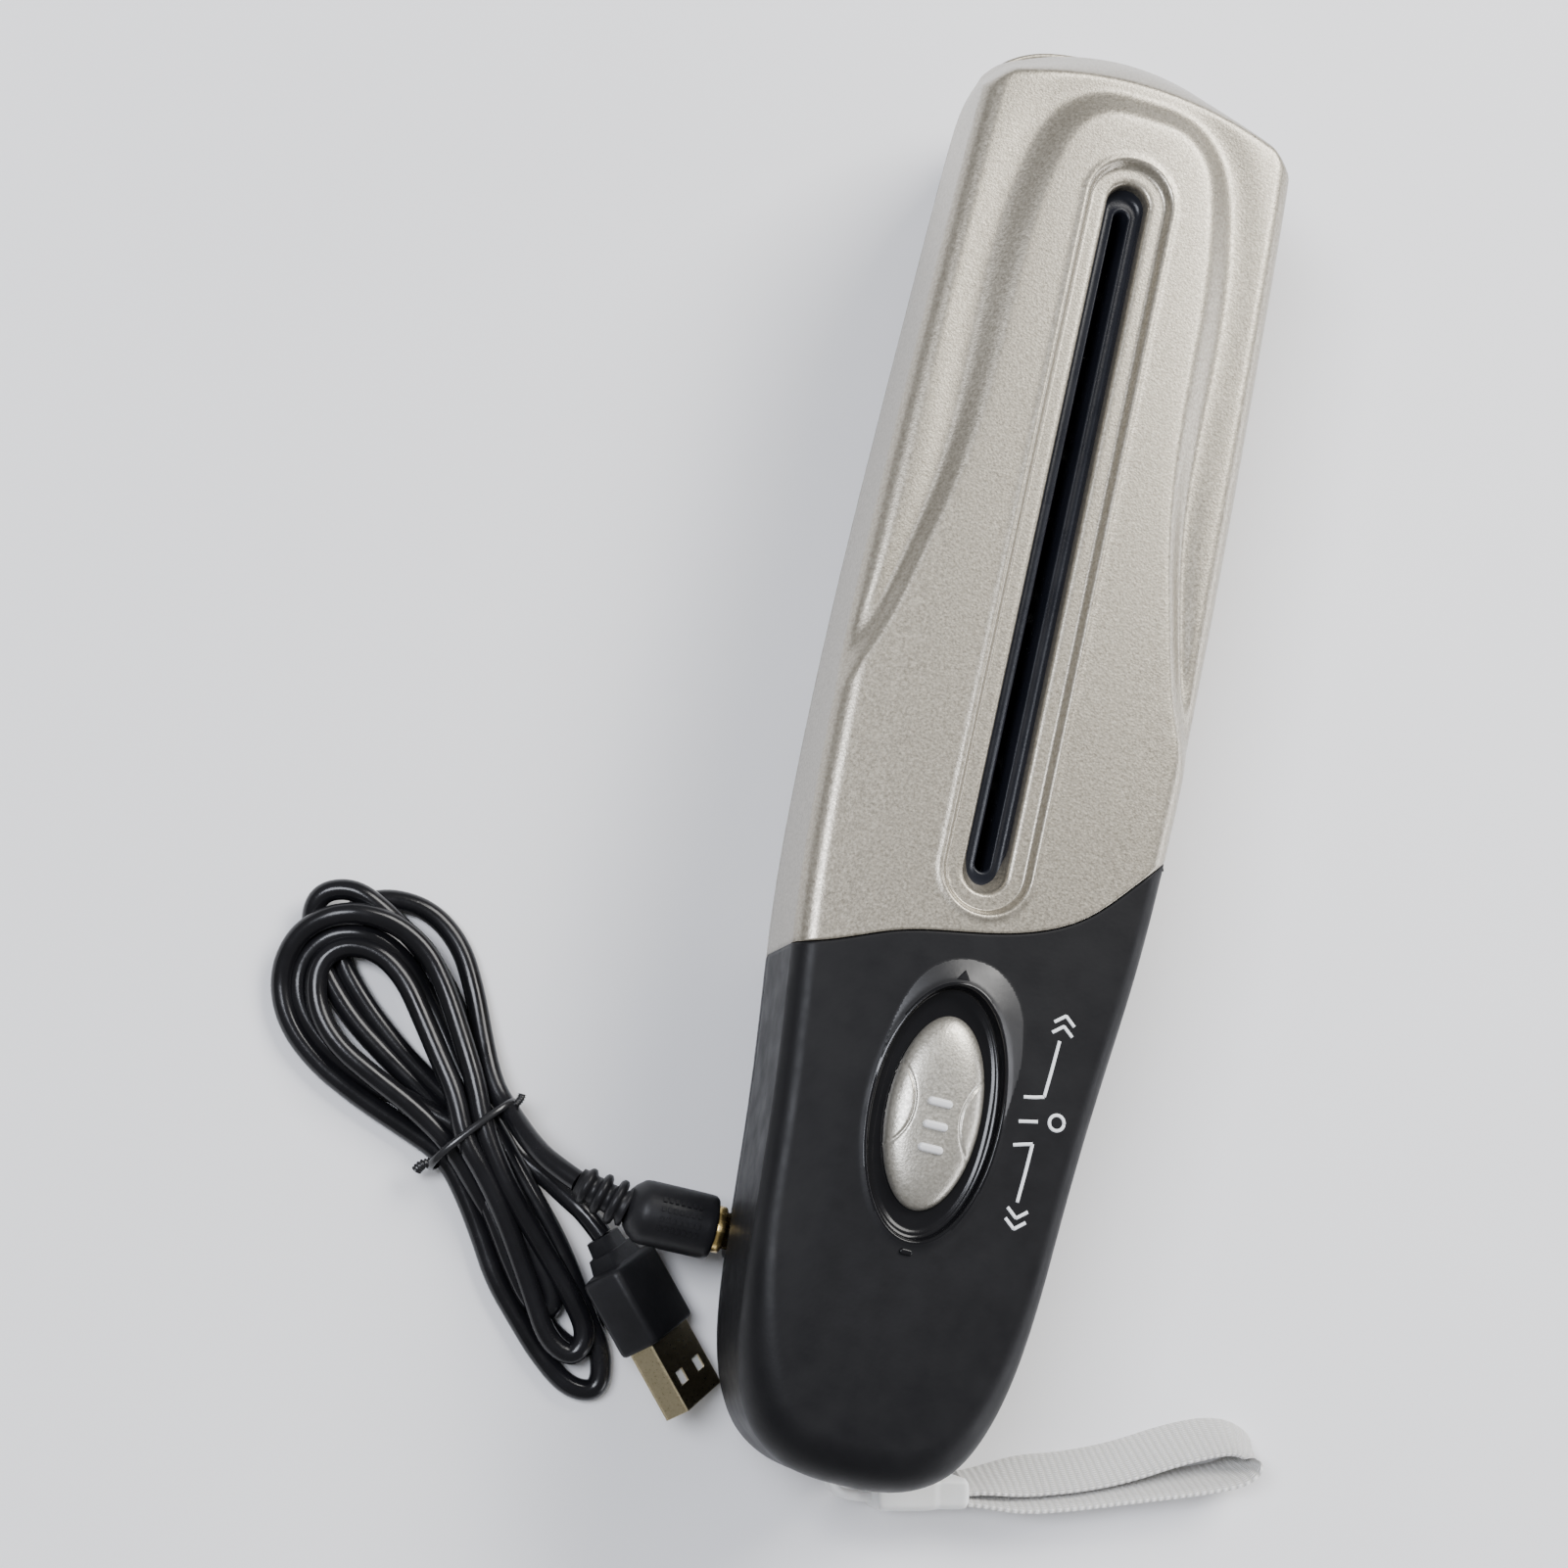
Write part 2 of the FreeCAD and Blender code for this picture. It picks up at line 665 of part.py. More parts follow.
def gear_train():
    """Sync gears at the head end; motor pinion, idler and final gear at the other."""
    offset, height = size("cutter_offset"), size("cutter_height")
    axle = size("axle_radius")
    thick = size("gear_thick")
    right, left = Vector(offset, 0, height), Vector(-offset, 0, height)
    sync_teeth, sync_module = size("sync_teeth"), size("sync_module")
    sync_low = size("high_plate") + size("plate_thick") + 0.8
    phases = {"right": 0.0, "left": mesh_phase(math.pi, sync_teeth, 0.0, sync_teeth)}
    for side, centre in (("right", right), ("left", left)):
        wheel = gear_solid(sync_teeth, sync_module, phases[side], 4.5, sync_low)
        wheel = wheel.cut(round_bar(axle, sync_low - 1, sync_low + 6))
        node(freeform("sync_" + side, wheel, Placement(centre, Rotation())), "sync_gear_" + side)

    final_teeth, small_teeth = size("final_teeth"), size("idler_small_teeth")
    big_teeth, pinion_teeth = size("idler_big_teeth"), size("pinion_teeth")
    final_module, input_module = size("final_module"), size("input_module")
    low_face = size("low_plate")
    final_low = low_face - 0.7 - thick
    final = gear_solid(final_teeth, final_module, 0.0, thick, final_low)
    final = final.cut(round_bar(axle, final_low - 1, low_face))
    for k in range(5):
        turn = 2 * math.pi * k / 5
        hole = round_bar(2.0, final_low - 1, low_face)
        hole.translate(Vector(6.2 * math.cos(turn), 0, 6.2 * math.sin(turn)))
        final = final.cut(hole)
    node(freeform("final", final, Placement(right, Rotation())), "final_gear")

    reach = final_module * (final_teeth + small_teeth) / 2
    idler = right + Vector(-reach, 0, 0)
    small_phase = mesh_phase(math.pi, final_teeth, 0.0, small_teeth)
    big_high = final_low - 0.4
    big_low = big_high - 2.4
    small = gear_solid(small_teeth, final_module, small_phase, low_face - 0.5 - big_high, big_high)
    big = gear_solid(big_teeth, input_module, 0.0, 2.4, big_low)
    bore = round_bar(1.05, big_low - 1, low_face)
    node(freeform("idler", small.fuse(big).cut(bore), Placement(idler, Rotation())), "idler_gear")

    input_reach = input_module * (big_teeth + pinion_teeth) / 2
    motor = idler + Vector(input_reach, 0, 0)
    pinion_phase = mesh_phase(0.0, big_teeth, 0.0, pinion_teeth)
    pinion = gear_solid(pinion_teeth, input_module, pinion_phase, 2.4, big_low)
    pinion = pinion.cut(round_bar(1.0, big_low - 1, low_face))
    node(freeform("pinion", pinion, Placement(motor, Rotation())), "motor_pinion")
    return idler, motor, big_low


# ---------------------------------------------------------------- cutters

DISC_COUNT = 27
FIRST_DISC = -24.6


def disc_outline(turn):
    """A round blade with four small hooks cut into its rim."""
    radius = size("disc_radius")
    points = []
    for k in range(4):
        start = turn + k * math.pi / 2
        points.append((radius - 0.7, start))
        points.append((radius, start + 0.02))
        points += [(radius, start + 0.02 + 0.127 * j) for j in range(1, 11)]
        points.append((radius - 0.35, start + 1.45))
    corners = [Vector(r * math.cos(a), 0, r * math.sin(a)) for r, a in points]
    return Part.makePolygon(corners + [corners[0]])


def cutter(side, sign, shift):
    """One cutting roller: an axle, its blades and the spacers between them."""
    axle, pitch, thick = size("axle_radius"), size("disc_pitch"), size("disc_thick")
    low = size("low_plate") + size("plate_thick") + 0.4
    high = size("high_plate") - 0.4
    hole = round_bar(axle, low - 5, high + 5)
    blades, spacers = [], []
    edge = low
    for k in range(DISC_COUNT):
        start = FIRST_DISC + shift + pitch * k
        blade = Part.Face(disc_outline(sign * k * math.pi / 14)).extrude(Vector(0, thick, 0))
        blade.translate(Vector(0, start, 0))
        blades.append(blade.cut(hole))
        spacers.append(round_bar(size("spacer_radius"), edge, start).cut(hole))
        edge = start + thick
    spacers.append(round_bar(size("spacer_radius"), edge, high).cut(hole))
    centre = Placement(Vector(sign * size("cutter_offset"), 0, size("cutter_height")), Rotation())
    node(freeform("blades_" + side, Part.makeCompound(blades), centre), "cutter_blades_" + side)
    node(freeform("spacers_" + side, Part.makeCompound(spacers), centre), "cutter_spacers_" + side)
    foot = "low_plate-0.7-gear_thick" if side == "right" else "low_plate-0.2"
    node(cylinder("axle_" + side, "axle_radius", "high_plate+plate_thick+5.6-(%s)" % foot,
                  ("%scutter_offset" % ("-" if sign < 0 else ""), foot, "cutter_height"), "y"),
         "cutter_axle_" + side)


def stripper_comb(side, sign, shift):
    """Fixed comb whose fingers reach between the blades and peel the strips off."""
    low = size("low_plate") + size("plate_thick") + 0.2
    high = size("high_plate") - 0.2
    offset, height = size("cutter_offset"), size("cutter_height")
    gap = size("comb_gap")
    inner = offset + size("disc_radius") + gap
    outer = size("plate_width") / 2 - size("rail_thick")
    comb = Part.makeBox(outer - inner, high - low, 4.0, Vector(inner, low, height - 2))
    tip = offset + size("spacer_radius") + gap
    room = size("disc_pitch") - size("disc_thick")
    for k in range(DISC_COUNT - 1):
        start = FIRST_DISC + shift + size("disc_pitch") * k + size("disc_thick") + gap
        finger = Part.makeBox(inner - tip + 0.5, room - 2 * gap, 3.0,
                              Vector(tip, start, height - 1.5))
        comb = comb.fuse(finger)
    comb = comb.removeSplitter()
    if sign < 0:
        comb = comb.mirror(Vector(0, 0, 0), Vector(1, 0, 0))
    node(freeform("comb_" + side, comb), "stripper_comb_" + side)


def cutter_frame():
    """Two end plates, two rails, four bushes and the screws that hold them together."""
    bearing = [("cutter_offset", "0", "bush_radius"), ("-cutter_offset", "0", "bush_radius")]
    for label, face in (("low_end_plate", "low_plate+plate_thick"),
                        ("high_end_plate", "high_plate+plate_thick")):
        node(plate(label + "_body", "XZ_Plane", ("plate_width", "plate_height"), bearing,
                   "plate_thick", ("0", face, "cutter_height")), label)
    half = "plate_width/2"
    for side, x in (("left", ("-" + half, "rail_thick-" + half)),
                    ("right", (half + "-rail_thick", half))):
        node(box("rail_" + side, x, ("low_plate+plate_thick", "high_plate"),
                 ("cutter_height-12", "cutter_height+12")), "frame_rail_" + side)
    bushes = []
    for i, (x, y) in enumerate([(x, y) for x in ("-cutter_offset", "cutter_offset")
                                for y in ("low_plate", "high_plate")]):
        ring = cylinder("bush_ring_%d" % i, "bush_radius", "plate_thick", (x, y, "cutter_height"),
                        "y")
        hole = cylinder("bush_hole_%d" % i, "axle_radius+bush_gap", "plate_thick+2",
                        (x, y + "-1", "cutter_height"), "y")
        bushes.append(cut("bush_%d" % i, ring, hole))
    node(group("bush_group", *bushes), "axle_bushes")
    screws = []
    for i, (x, z) in enumerate([(x, z) for x in (-1, 1) for z in (-1, 1)]):
        centre = ("%d*(plate_width/2-2.2)" % x, "high_plate+plate_thick",
                  "cutter_height+%d*11" % z)
        screws.append(cylinder("frame_screw_%d" % i, 1.5, 1.0, centre, "y"))
    node(group("frame_screw_group", *screws), "frame_screws")


def drive(idler, motor, big_low):
    """Motor, its mounting plate and the idler's fixed pin."""
    low = size("motor_plate")
    plate_shape = Part.makeBox(44, big_low - 0.5 - low, 26, Vector(-22, low, 9))
    plate_shape = plate_shape.cut(round_bar_at(1.4, low - 1, big_low, motor))
    plate_shape = plate_shape.cut(round_bar_at(1.0, low - 1, big_low, idler))
    node(freeform("motor_plate_shape", plate_shape), "motor_plate")
    node(freeform("idler_pin_shape", round_bar_at(1.0, low, size("low_plate") - 0.5, idler)),
         "idler_pin")
    width, depth, length = size("motor_width"), size("motor_depth"), size("motor_length")
    can = round_bar_at(width / 2, low - length, low, motor)
    flat = Part.makeBox(width, length, depth, Vector(motor.x - width / 2, low - length,
                                                     motor.z - depth / 2))
    can = can.common(flat).cut(round_bar_at(1.05, low - length + 3, low + 1, motor))
    node(freeform("motor_can_shape", can), "motor")
    node(freeform("rotor_shape", round_bar_at(1.0, low - length + 4, big_low + 2.4, motor)),
         "motor_shaft")


def round_bar_at(radius, low, high, centre):
    bar = round_bar(radius, low, high)
    bar.translate(Vector(centre.x, 0, centre.z))
    return bar


# ---------------------------------------------------------------- handle inside

def batteries():
    """Four cells side by side in two layers, with their tray, contacts and door."""
    cells, springs = [], []
    for column in (-1, 1):
        for layer in (0, 1):
            x = "cell_shift+%d*cell_pitch/2" % column
            z = "cell_low+%d*cell_pitch" % layer
            name = "cell_%d_%d" % (column + 1, layer)
            flip = (column > 0) != (layer > 0)
            can = cylinder(name + "_can", "cell_radius", "cell_length", (x, "cell_start", z), "y")
            nub_foot = "cell_start-1.2" if flip else "cell_start+cell_length-0.2"
            nub = cylinder(name + "_nub", 2.7, 1.4, (x, nub_foot, z), "y")
            cells.append(fuse(name, can, nub))
            foot = "cell_start+cell_length" if flip else "cell_start-2.0"
            radii = (4.0, 2.6) if flip else (2.6, 4.0)
            springs.append(cone(name + "_spring", radii, 2.0, (x, foot, z), "y"))
    node(group("cell_group", *cells), "battery_cells")
    node(group("spring_group", *springs), "contact_springs")

    top = "cell_low+cell_pitch+cell_radius+0.4"
    left, right = "cell_shift-14.6", "cell_shift+14.6"
    head = "cell_start+cell_length+2.2"
    outer = box("tray_outer", (left + "-tray_wall", right + "+tray_wall"), ("-96", head + "+0.4"),
                ("8", top + "+tray_wall"))
    inner = box("tray_inner", (left, right), ("-130", head), ("-1", top))
    notch = box("tray_notch", ("-20", "-12"), ("jack_along-5.4", "jack_along+5.4"),
                ("jack_height-5.4", "jack_height+5.4"))
    node(cut("tray", outer, inner, notch), "battery_tray")
    node(box("contact_plate_shape", ("-10", "11"), ("cell_start-2.5", "cell_start-2.0"),
             ("7", "31")), "contact_plate")

    width = number("door_width")
    limits = Part.makeBox(width, 100, size("door_thick"),
                          Vector(-width / 2, size("door_head") - 100, 0.2))
    rib_y = size("door_head") - 8
    door = rear_body().common(limits)
    for k in range(5):
        groove = Part.makeBox(12, 0.8, 0.5, Vector(-6, rib_y - 2.2 * k, 0.1))
        door = door.cut(groove)
    node(freeform("door_shape", door), "battery_door")


def switch():
    """Sliding oval knob, the carriage below the cover, the switch and its board."""
    top = size("knob_top")
    low = number("case_height-moat_depth+0.3")
    dome = oval_shape(size("knob_length"), size("knob_width"), top - low)
    rim = [e for e in dome.Edges if e.BoundBox.ZMin > top - low - 1e-3]
    dome = dome.makeFillet(1.4, rim)
    bars = []
    for k in (-1, 0, 1):
        bars.append(Part.makeBox(3.9, 1.2, 0.6, Vector(-1.95, 3.7 * k - 0.6, top - low - 0.3)))
    stem = Part.makeBox(5.6, 8.0, 2.1, Vector(-2.8, -4.0, -2.0))
    knob = dome.fuse([stem] + bars).removeSplitter()
    middle = Placement(Vector(0, size("switch_centre"), low), Rotation())
    node(freeform("knob_shape", knob, middle), "switch_knob")
    node(box("carriage_shape", ("-6", "6"), ("switch_centre-10", "switch_centre+10"),
             (str(low - 2.0 - 1.1), str(low - 2.0))), "switch_carriage")
    board = plate("board_body", "XY_Plane", ("20", "36"),
                  [("7.5", "14", "1.2"), ("-7.5", "-14", "1.2")], "1.2",
                  ("0", "switch_centre-2", "35.2"))
    node(board, "control_board")
    node(box("switch_shape", ("-5", "5"), ("switch_centre-10", "switch_centre+10"),
             ("36.4", "41.0")), "slide_switch")


# ---------------------------------------------------------------- power lead

def tube_path(points):
    """Straight runs joined by tangent arcs, each as large as its two runs allow."""
    vectors = [Vector(*p) for p in points]
    edges, radii = [], []
    here = vectors[0]
    for before, corner, after in zip(vectors, vectors[1:], vectors[2:]):
        back, on = before - corner, after - corner
        turn = math.pi - back.getAngle(on)
        run = min(back.Length, on.Length)
        radius = 0.45 * run / math.tan(turn / 2)
        reach = 0.45 * run
        start = corner + back.normalize() * reach
        stop = corner + on.normalize() * reach
        inward = (back + on).normalize()
        middle = corner + inward * (radius / math.cos(turn / 2) - radius)
        edges.append(Part.LineSegment(here, start).toShape())
        edges.append(Part.Arc(start, middle, stop).toShape())
        radii.append(round(radius, 1))
        here = stop
    edges.append(Part.LineSegment(here, vectors[-1]).toShape())
    return Part.Wire(edges), radii


def tube(name, points, diameter):
    """A round tube along a route, with its volume compared with section times length."""
    path, radii = tube_path(points)
    direction = Vector(*points[1]) - Vector(*points[0])
    ring = Part.Wire(Part.makeCircle(diameter / 2, Vector(*points[0]), direction))
    solid = path.makePipeShell([ring], True, True)
    expected = math.pi * diameter ** 2 / 4 * path.Length
    print("%s: length %.1f, radii %s, volume ratio %.4f"
          % (name, path.Length, radii, solid.Volume / expected))
    return solid


# Routes of the two free stretches of the lead, from each plug to the tied hank.
PLUG_LEAD = [(-45.8, -82.6, 16.6), (-49.6, -81.0, 14.6), (-53.2, -78.6, 11.8), (-56.6, -75.6, 8.8)]
USB_LEAD = [(-39.2, -89.5, 8.0), (-42.6, -85.6, 7.5), (-47.2, -82.0, 6.4), (-52.6, -79.0, 5.0)]
HANK_LOBE = [(-67.2, -84.4), (-56.9, -72.8), (-61.5, -64.0), (-67.5, -54.0), (-75.0, -46.2),
             (-83.5, -44.2), (-93.0, -47.4), (-98.4, -57.0), (-96.4, -67.5), (-88.5, -76.2),
             (-77.5, -81.2)]
HANK_TAIL = [(-56.9, -72.8), (-50.5, -80.0), (-46.4, -87.5), (-43.2, -94.6), (-39.4, -101.2),
             (-35.8, -107.4), (-34.4, -111.4), (-38.0, -114.2), (-45.0, -110.2), (-52.0, -103.0),
             (-59.5, -94.4), (-67.2, -84.4)]


def dc_plug():
    """Barrel plug in the side socket, its ribbed strain relief, and the socket itself."""
    along, height = "jack_along", "jack_height"
    nose = cylinder("jack_nose", 4.0, 7.0, ("jack_face", along, height), "x")
    block = box("jack_block", ("jack_face+3.0", "jack_face+7.0"), (along + "-4.5", along + "+4.5"),
                (height + "-4.3", height + "+4.3"))
    bore = cylinder("jack_bore", "barrel_radius+0.1", 6.8, ("jack_face-0.2", along, height), "x")
    pin = cylinder("jack_pin", 0.6, 6.3, ("jack_face+0.5", along, height), "x")
    whole = fuse("jack_whole", nose, block)
    hollow = cut("jack_hollow", whole, bore)
    node(fuse("jack", hollow, pin), "power_jack")

    barrel = cylinder("barrel_tube", "barrel_radius", 7.9, ("jack_face-1.6", along, height), "x")
    barrel_bore = cylinder("barrel_bore", 1.1, 7.5, ("jack_face-0.8", along, height), "x")
    node(cut("barrel", barrel, barrel_bore), "plug_barrel")
    foot = "jack_face-1.0-plug_length"
    body = cylinder("plug_body_raw", "plug_radius", "plug_length", (foot, along, height), "x")
    seat = cylinder("plug_seat", "barrel_radius", 1.0, ("jack_face-1.6", along, height), "x")
    node(cut("plug_body", body, seat), "power_plug")

    start = Vector(size("jack_face") - 1.0 - size("plug_length"), size("jack_along"),
                   size("jack_height"))
    end = Vector(*PLUG_LEAD[0])
    aim = end - start
    core = Part.makeCone(3.0, 2.0, aim.Length, start, aim)
    direction = Vector(aim).normalize()
    for k in range(3):
        at = start + direction * (1.6 + 2.7 * k)
        core = core.fuse(Part.makeCylinder(3.7 - 0.35 * k, 1.2, at, direction))
    core = core.cut(Part.makeCylinder(9, 5, start, Vector(1, 0, 0)))
    node(freeform("relief_shape", core.removeSplitter()), "plug_strain_relief")


USB_POINT = Vector(-35.8, -93.2, 8.0)
USB_AIM = Vector(0.68, -0.73, 0.0)
USB_ROLL = -50.0


def usb_plug():
    """Flat USB plug lying on its edge: a moulded grip and a folded metal shell."""
    aim = Vector(USB_AIM).normalize()
    across = Vector(0, 0, 1).cross(aim).normalize()
    turn = Rotation(aim, USB_ROLL)
    frame = Rotation(across, Vector(0, 0, 1), aim, "ZXY")
    frame = turn.multiply(frame)
    at = Placement(USB_POINT, frame)
    grip = Part.makeBox(13.6, 7.4, 13.0, Vector(-6.8, -3.7, 0))
    grip = grip.makeFillet(1.2, [e for e in grip.Edges if e.BoundBox.ZLength > 12])
    collar = Part.makeCone(2.2, 3.4, 5.0, Vector(0, 0, -5.0), Vector(0, 0, 1))
    node(freeform("usb_grip", grip.fuse(collar), at), "usb_grip")
    shell = Part.makeBox(12.0, 4.5, 11.5, Vector(-6.0, -2.25, 13.0))
    shell = shell.cut(Part.makeBox(11.4, 3.9, 10.5, Vector(-5.7, -1.95, 14.5)))
    for x in (-2.9, 2.9):
        for y in (-3, 1.5):
            shell = shell.cut(Part.makeBox(2.2, 1.6, 2.2, Vector(x - 1.1, y, 18.6)))
    node(freeform("usb_shell", shell, at), "usb_shell")
    tongue = Part.makeBox(11.2, 1.8, 9.4, Vector(-5.6, 0.1, 14.5))
    node(freeform("usb_tongue", tongue, at), "usb_tongue")


def power_lead():
    diameter = size("lead_diameter")
    node(freeform("plug_lead_shape", tube("plug_lead", PLUG_LEAD, diameter)), "plug_lead")
    node(freeform("usb_lead_shape", tube("usb_lead", USB_LEAD, diameter)), "usb_lead")
    height = size("hank_height")
    lobe = prism(closed_curve(HANK_LOBE), 0, height)
    tail = prism(closed_curve(HANK_TAIL), 0, height)
    hank = lobe.fuse(tail).removeSplitter()
    node(freeform("hank_shape", hank.Solids[0]), "lead_hank")
    node(freeform("tie_shape", tie_band(Vector(-68.2, -85.4, 0), Vector(-55.6, -70.4, 0), 1.2)),
         "hank_tie")


def tie_band(start, stop, thick):
    """Wire tie over the hank's waist, with a leg down each side."""
    along = stop - start
    height = size("hank_height")
    strip = Part.makeBox(along.Length, thick, height + thick, Vector(0, -thick / 2, 0))
    inside = Part.makeBox(along.Length - 2 * thick, 3 * thick, height + 1,
                          Vector(thick, -1.5 * thick, -1))
    strip = strip.cut(inside)
    return strip.transformGeometry(Placement(start, Rotation(Vector(1, 0, 0), along)).toMatrix())


# ---------------------------------------------------------------- wrist strap

STRAP_ROUTE = [(26.9, -116.5), (38.0, -114.6), (52.0, -111.6), (63.6, -109.0), (71.4, -105.4),
               (73.4, -100.2), (69.0, -97.0), (60.0, -100.0), (49.0, -105.0), (38.0, -110.8),
               (26.7, -114.7)]
LANYARD_ROUTE = [(12.4, -119.6, 5.0), (8.0, -120.2, 6.6), (4.2, -118.9, 9.6), (2.4, -115.6, 12.0),
                 (2.3, -111.8, 12.6), (5.3, -108.9, 12.4), (8.2, -112.0, 12.0),
                 (8.9, -115.6, 11.0), (9.9, -117.9, 8.0), (12.1, -118.2, 5.4)]


def wrist_strap():
    """Webbing loop standing on its edge, its ferrule and the thin cord to the casing."""
    path, radii = tube_path([(x, y, 0) for x, y in STRAP_ROUTE])
    print("wrist_strap: length %.1f, radii %s" % (path.Length, radii))
    thick = size("strap_thick")
    start = Vector(*STRAP_ROUTE[0], 0)
    direction = Vector(*STRAP_ROUTE[1], 0) - start
    direction.normalize()
    side = Vector(-direction.y, direction.x, 0) * (thick / 2)
    up = Vector(0, 0, size("strap_width"))
    profile = Part.makePolygon([start - side, start + side, start + side + up,
                                start - side + up, start - side])
    strap = path.makePipeShell([profile], True, False)
    print("wrist_strap: volume ratio %.4f"
          % (strap.Volume / (thick * size("strap_width") * path.Length)))
    node(freeform("strap_shape", strap), "wrist_strap")
    body = plate("ferrule_body", "XY_Plane", ("15", "5.4"), [], "10.2", ("19.5", "-117.2", "0"),
                 ("1.0", lambda edge: edge.BoundBox.ZLength > 5), Rotation(Vector(0, 0, 1), 12))
    node(body, "strap_ferrule")
    node(cylinder("lanyard_pin_shape", "lanyard_pin_radius", 5.6, ("5.2", "-112.0", "9.8")),
         "lanyard_pin")
    thread = tube("lanyard_loop", LANYARD_ROUTE, 2 * size("loop_radius"))
    node(freeform("lanyard_shape", thread), "lanyard_loop")


# ---------------------------------------------------------------- build and write

def check(item):
    states = set(item.State) & {"Invalid", "Error"}
    if states:
        raise RuntimeError("%s is %s" % (item.Label, sorted(states)))


def build():
    casing()
    feed_throat()
    exit_chute()
    idler, motor, big_low = gear_train()
    cutter("right", 1, 0.0)
    cutter("left", -1, size("disc_pitch") / 2)
    stripper_comb("right", 1, 0.0)
    stripper_comb("left", -1, size("disc_pitch") / 2)
    cutter_frame()
    drive(idler, motor, big_low)
    batteries()
    switch()
    dc_plug()
    usb_plug()
    power_lead()
    wrist_strap()
    doc.recompute()
    for item in doc.Objects:
        check(item)
    for item in NODES:
        if item.Shape.isNull() or not item.Shape.isValid():
            raise RuntimeError("%s has no valid shape" % item.Label)
        if not item.Shape.Solids:
            raise RuntimeError("%s has no solid" % item.Label)


def write():
    os.makedirs("parts", exist_ok=True)
    for item in NODES:
        item.Shape.exportStep("parts/%s.step" % item.Label)
        limits = item.Shape.BoundBox
        print("%-22s %2d solids  x %7.2f %7.2f  y %7.2f %7.2f  z %6.2f %6.2f"
              % (item.Label, len(item.Shape.Solids), limits.XMin, limits.XMax,
                 limits.YMin, limits.YMax, limits.ZMin, limits.ZMax))


build()
write()
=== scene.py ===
import math

import bmesh
import bpy
import numpy as np
from mathutils import Matrix, Vector
from mathutils.kdtree import KDTree


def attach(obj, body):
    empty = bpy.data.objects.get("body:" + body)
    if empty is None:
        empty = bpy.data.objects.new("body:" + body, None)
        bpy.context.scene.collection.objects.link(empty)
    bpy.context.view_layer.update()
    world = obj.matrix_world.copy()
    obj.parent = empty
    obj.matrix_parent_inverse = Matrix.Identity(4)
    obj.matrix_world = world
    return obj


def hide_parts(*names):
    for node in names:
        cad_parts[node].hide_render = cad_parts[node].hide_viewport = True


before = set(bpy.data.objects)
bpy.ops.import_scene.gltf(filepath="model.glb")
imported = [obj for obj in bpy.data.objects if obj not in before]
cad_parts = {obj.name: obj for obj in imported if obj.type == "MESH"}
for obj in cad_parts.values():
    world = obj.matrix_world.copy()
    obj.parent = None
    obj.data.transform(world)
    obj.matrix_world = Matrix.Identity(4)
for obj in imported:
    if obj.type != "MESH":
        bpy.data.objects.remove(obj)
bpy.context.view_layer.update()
MM = 0.001
SAME_POINT = 1e-6


# ---- small helpers

def smooth(low, high, value):
    """0 below low, 1 above high, and an even curve between."""
    t = np.clip((value - low) / (high - low), 0.0, 1.0)
    return t * t * (3.0 - 2.0 * t)


def spline(points, count, closed):
    """Points along the C2 cubic curve through the given points.

    Its parameter runs by chord length, or by the root of it where the curve is open.
    """
    p = np.array(points, float)
    if closed:
        p = np.vstack([p, p[:1]])
    step = np.linalg.norm(np.diff(p, axis=0), axis=1)
    if not closed:
        step = np.sqrt(step)
    knots = np.concatenate([[0.0], np.cumsum(step)])
    n = len(p) - 1
    size = n if closed else n + 1
    a = np.zeros((size, size))
    b = np.zeros((size, p.shape[1]))
    for i in range(size):
        if not closed and i in (0, n):
            a[i, i] = 1.0
            continue
        before, after = step[(i - 1) % n], step[i % n]
        a[i, (i - 1) % size] += before
        a[i, i] += 2.0 * (before + after)
        a[i, (i + 1) % size] += after
        following = (p[(i + 1) if i < n else 1] - p[i]) / after
        previous = (p[i] - p[i - 1 if i else n - 1]) / before
        b[i] = 6.0 * (following - previous)
    bend = np.linalg.solve(a, b)
    if closed:
        bend = np.vstack([bend, bend[:1]])
    at = np.linspace(0.0, knots[-1], count, endpoint=not closed)
    k = np.clip(np.searchsorted(knots, at, side="right") - 1, 0, n - 1)
    h = step[k][:, None]
    right = ((at - knots[k])[:, None]) / h
    left = 1.0 - right
    return (left * p[k] + right * p[k + 1]
            + ((left ** 3 - left) * bend[k] + (right ** 3 - right) * bend[k + 1]) * h ** 2 / 6.0)


def resample(line, count):
    """The same line with points evenly spaced along it, both ends kept."""
    steps = np.linalg.norm(np.diff(line, axis=0), axis=1)
    along = np.concatenate([[0.0], np.cumsum(steps)])
    at = np.linspace(0.0, along[-1], count)
    return np.stack([np.interp(at, along, line[:, k]) for k in range(line.shape[1])], axis=1)


def sideways(line):
    """Unit vectors square to a line in plan, on the left of its direction."""
    tangent = np.gradient(line, axis=0)
    tangent /= np.linalg.norm(tangent, axis=1)[:, None]
    return np.stack([-tangent[:, 1], tangent[:, 0]], axis=1)


def turn_angles(count, offset=0.0):
    return [2.0 * math.pi * (k + offset) / count for k in range(count)]


def even_turn(count):
    return np.linspace(0.0, 2.0 * math.pi, count, endpoint=False)


def level(x, y, height):
    """Points in space at one height over points in plan."""
    return np.column_stack([x, y, np.full(len(x), height)])


def rounded_power(value, power):
    """A sine or cosine raised to a power with its sign kept, for a squarer ring."""
    return math.copysign(abs(value) ** power, value)


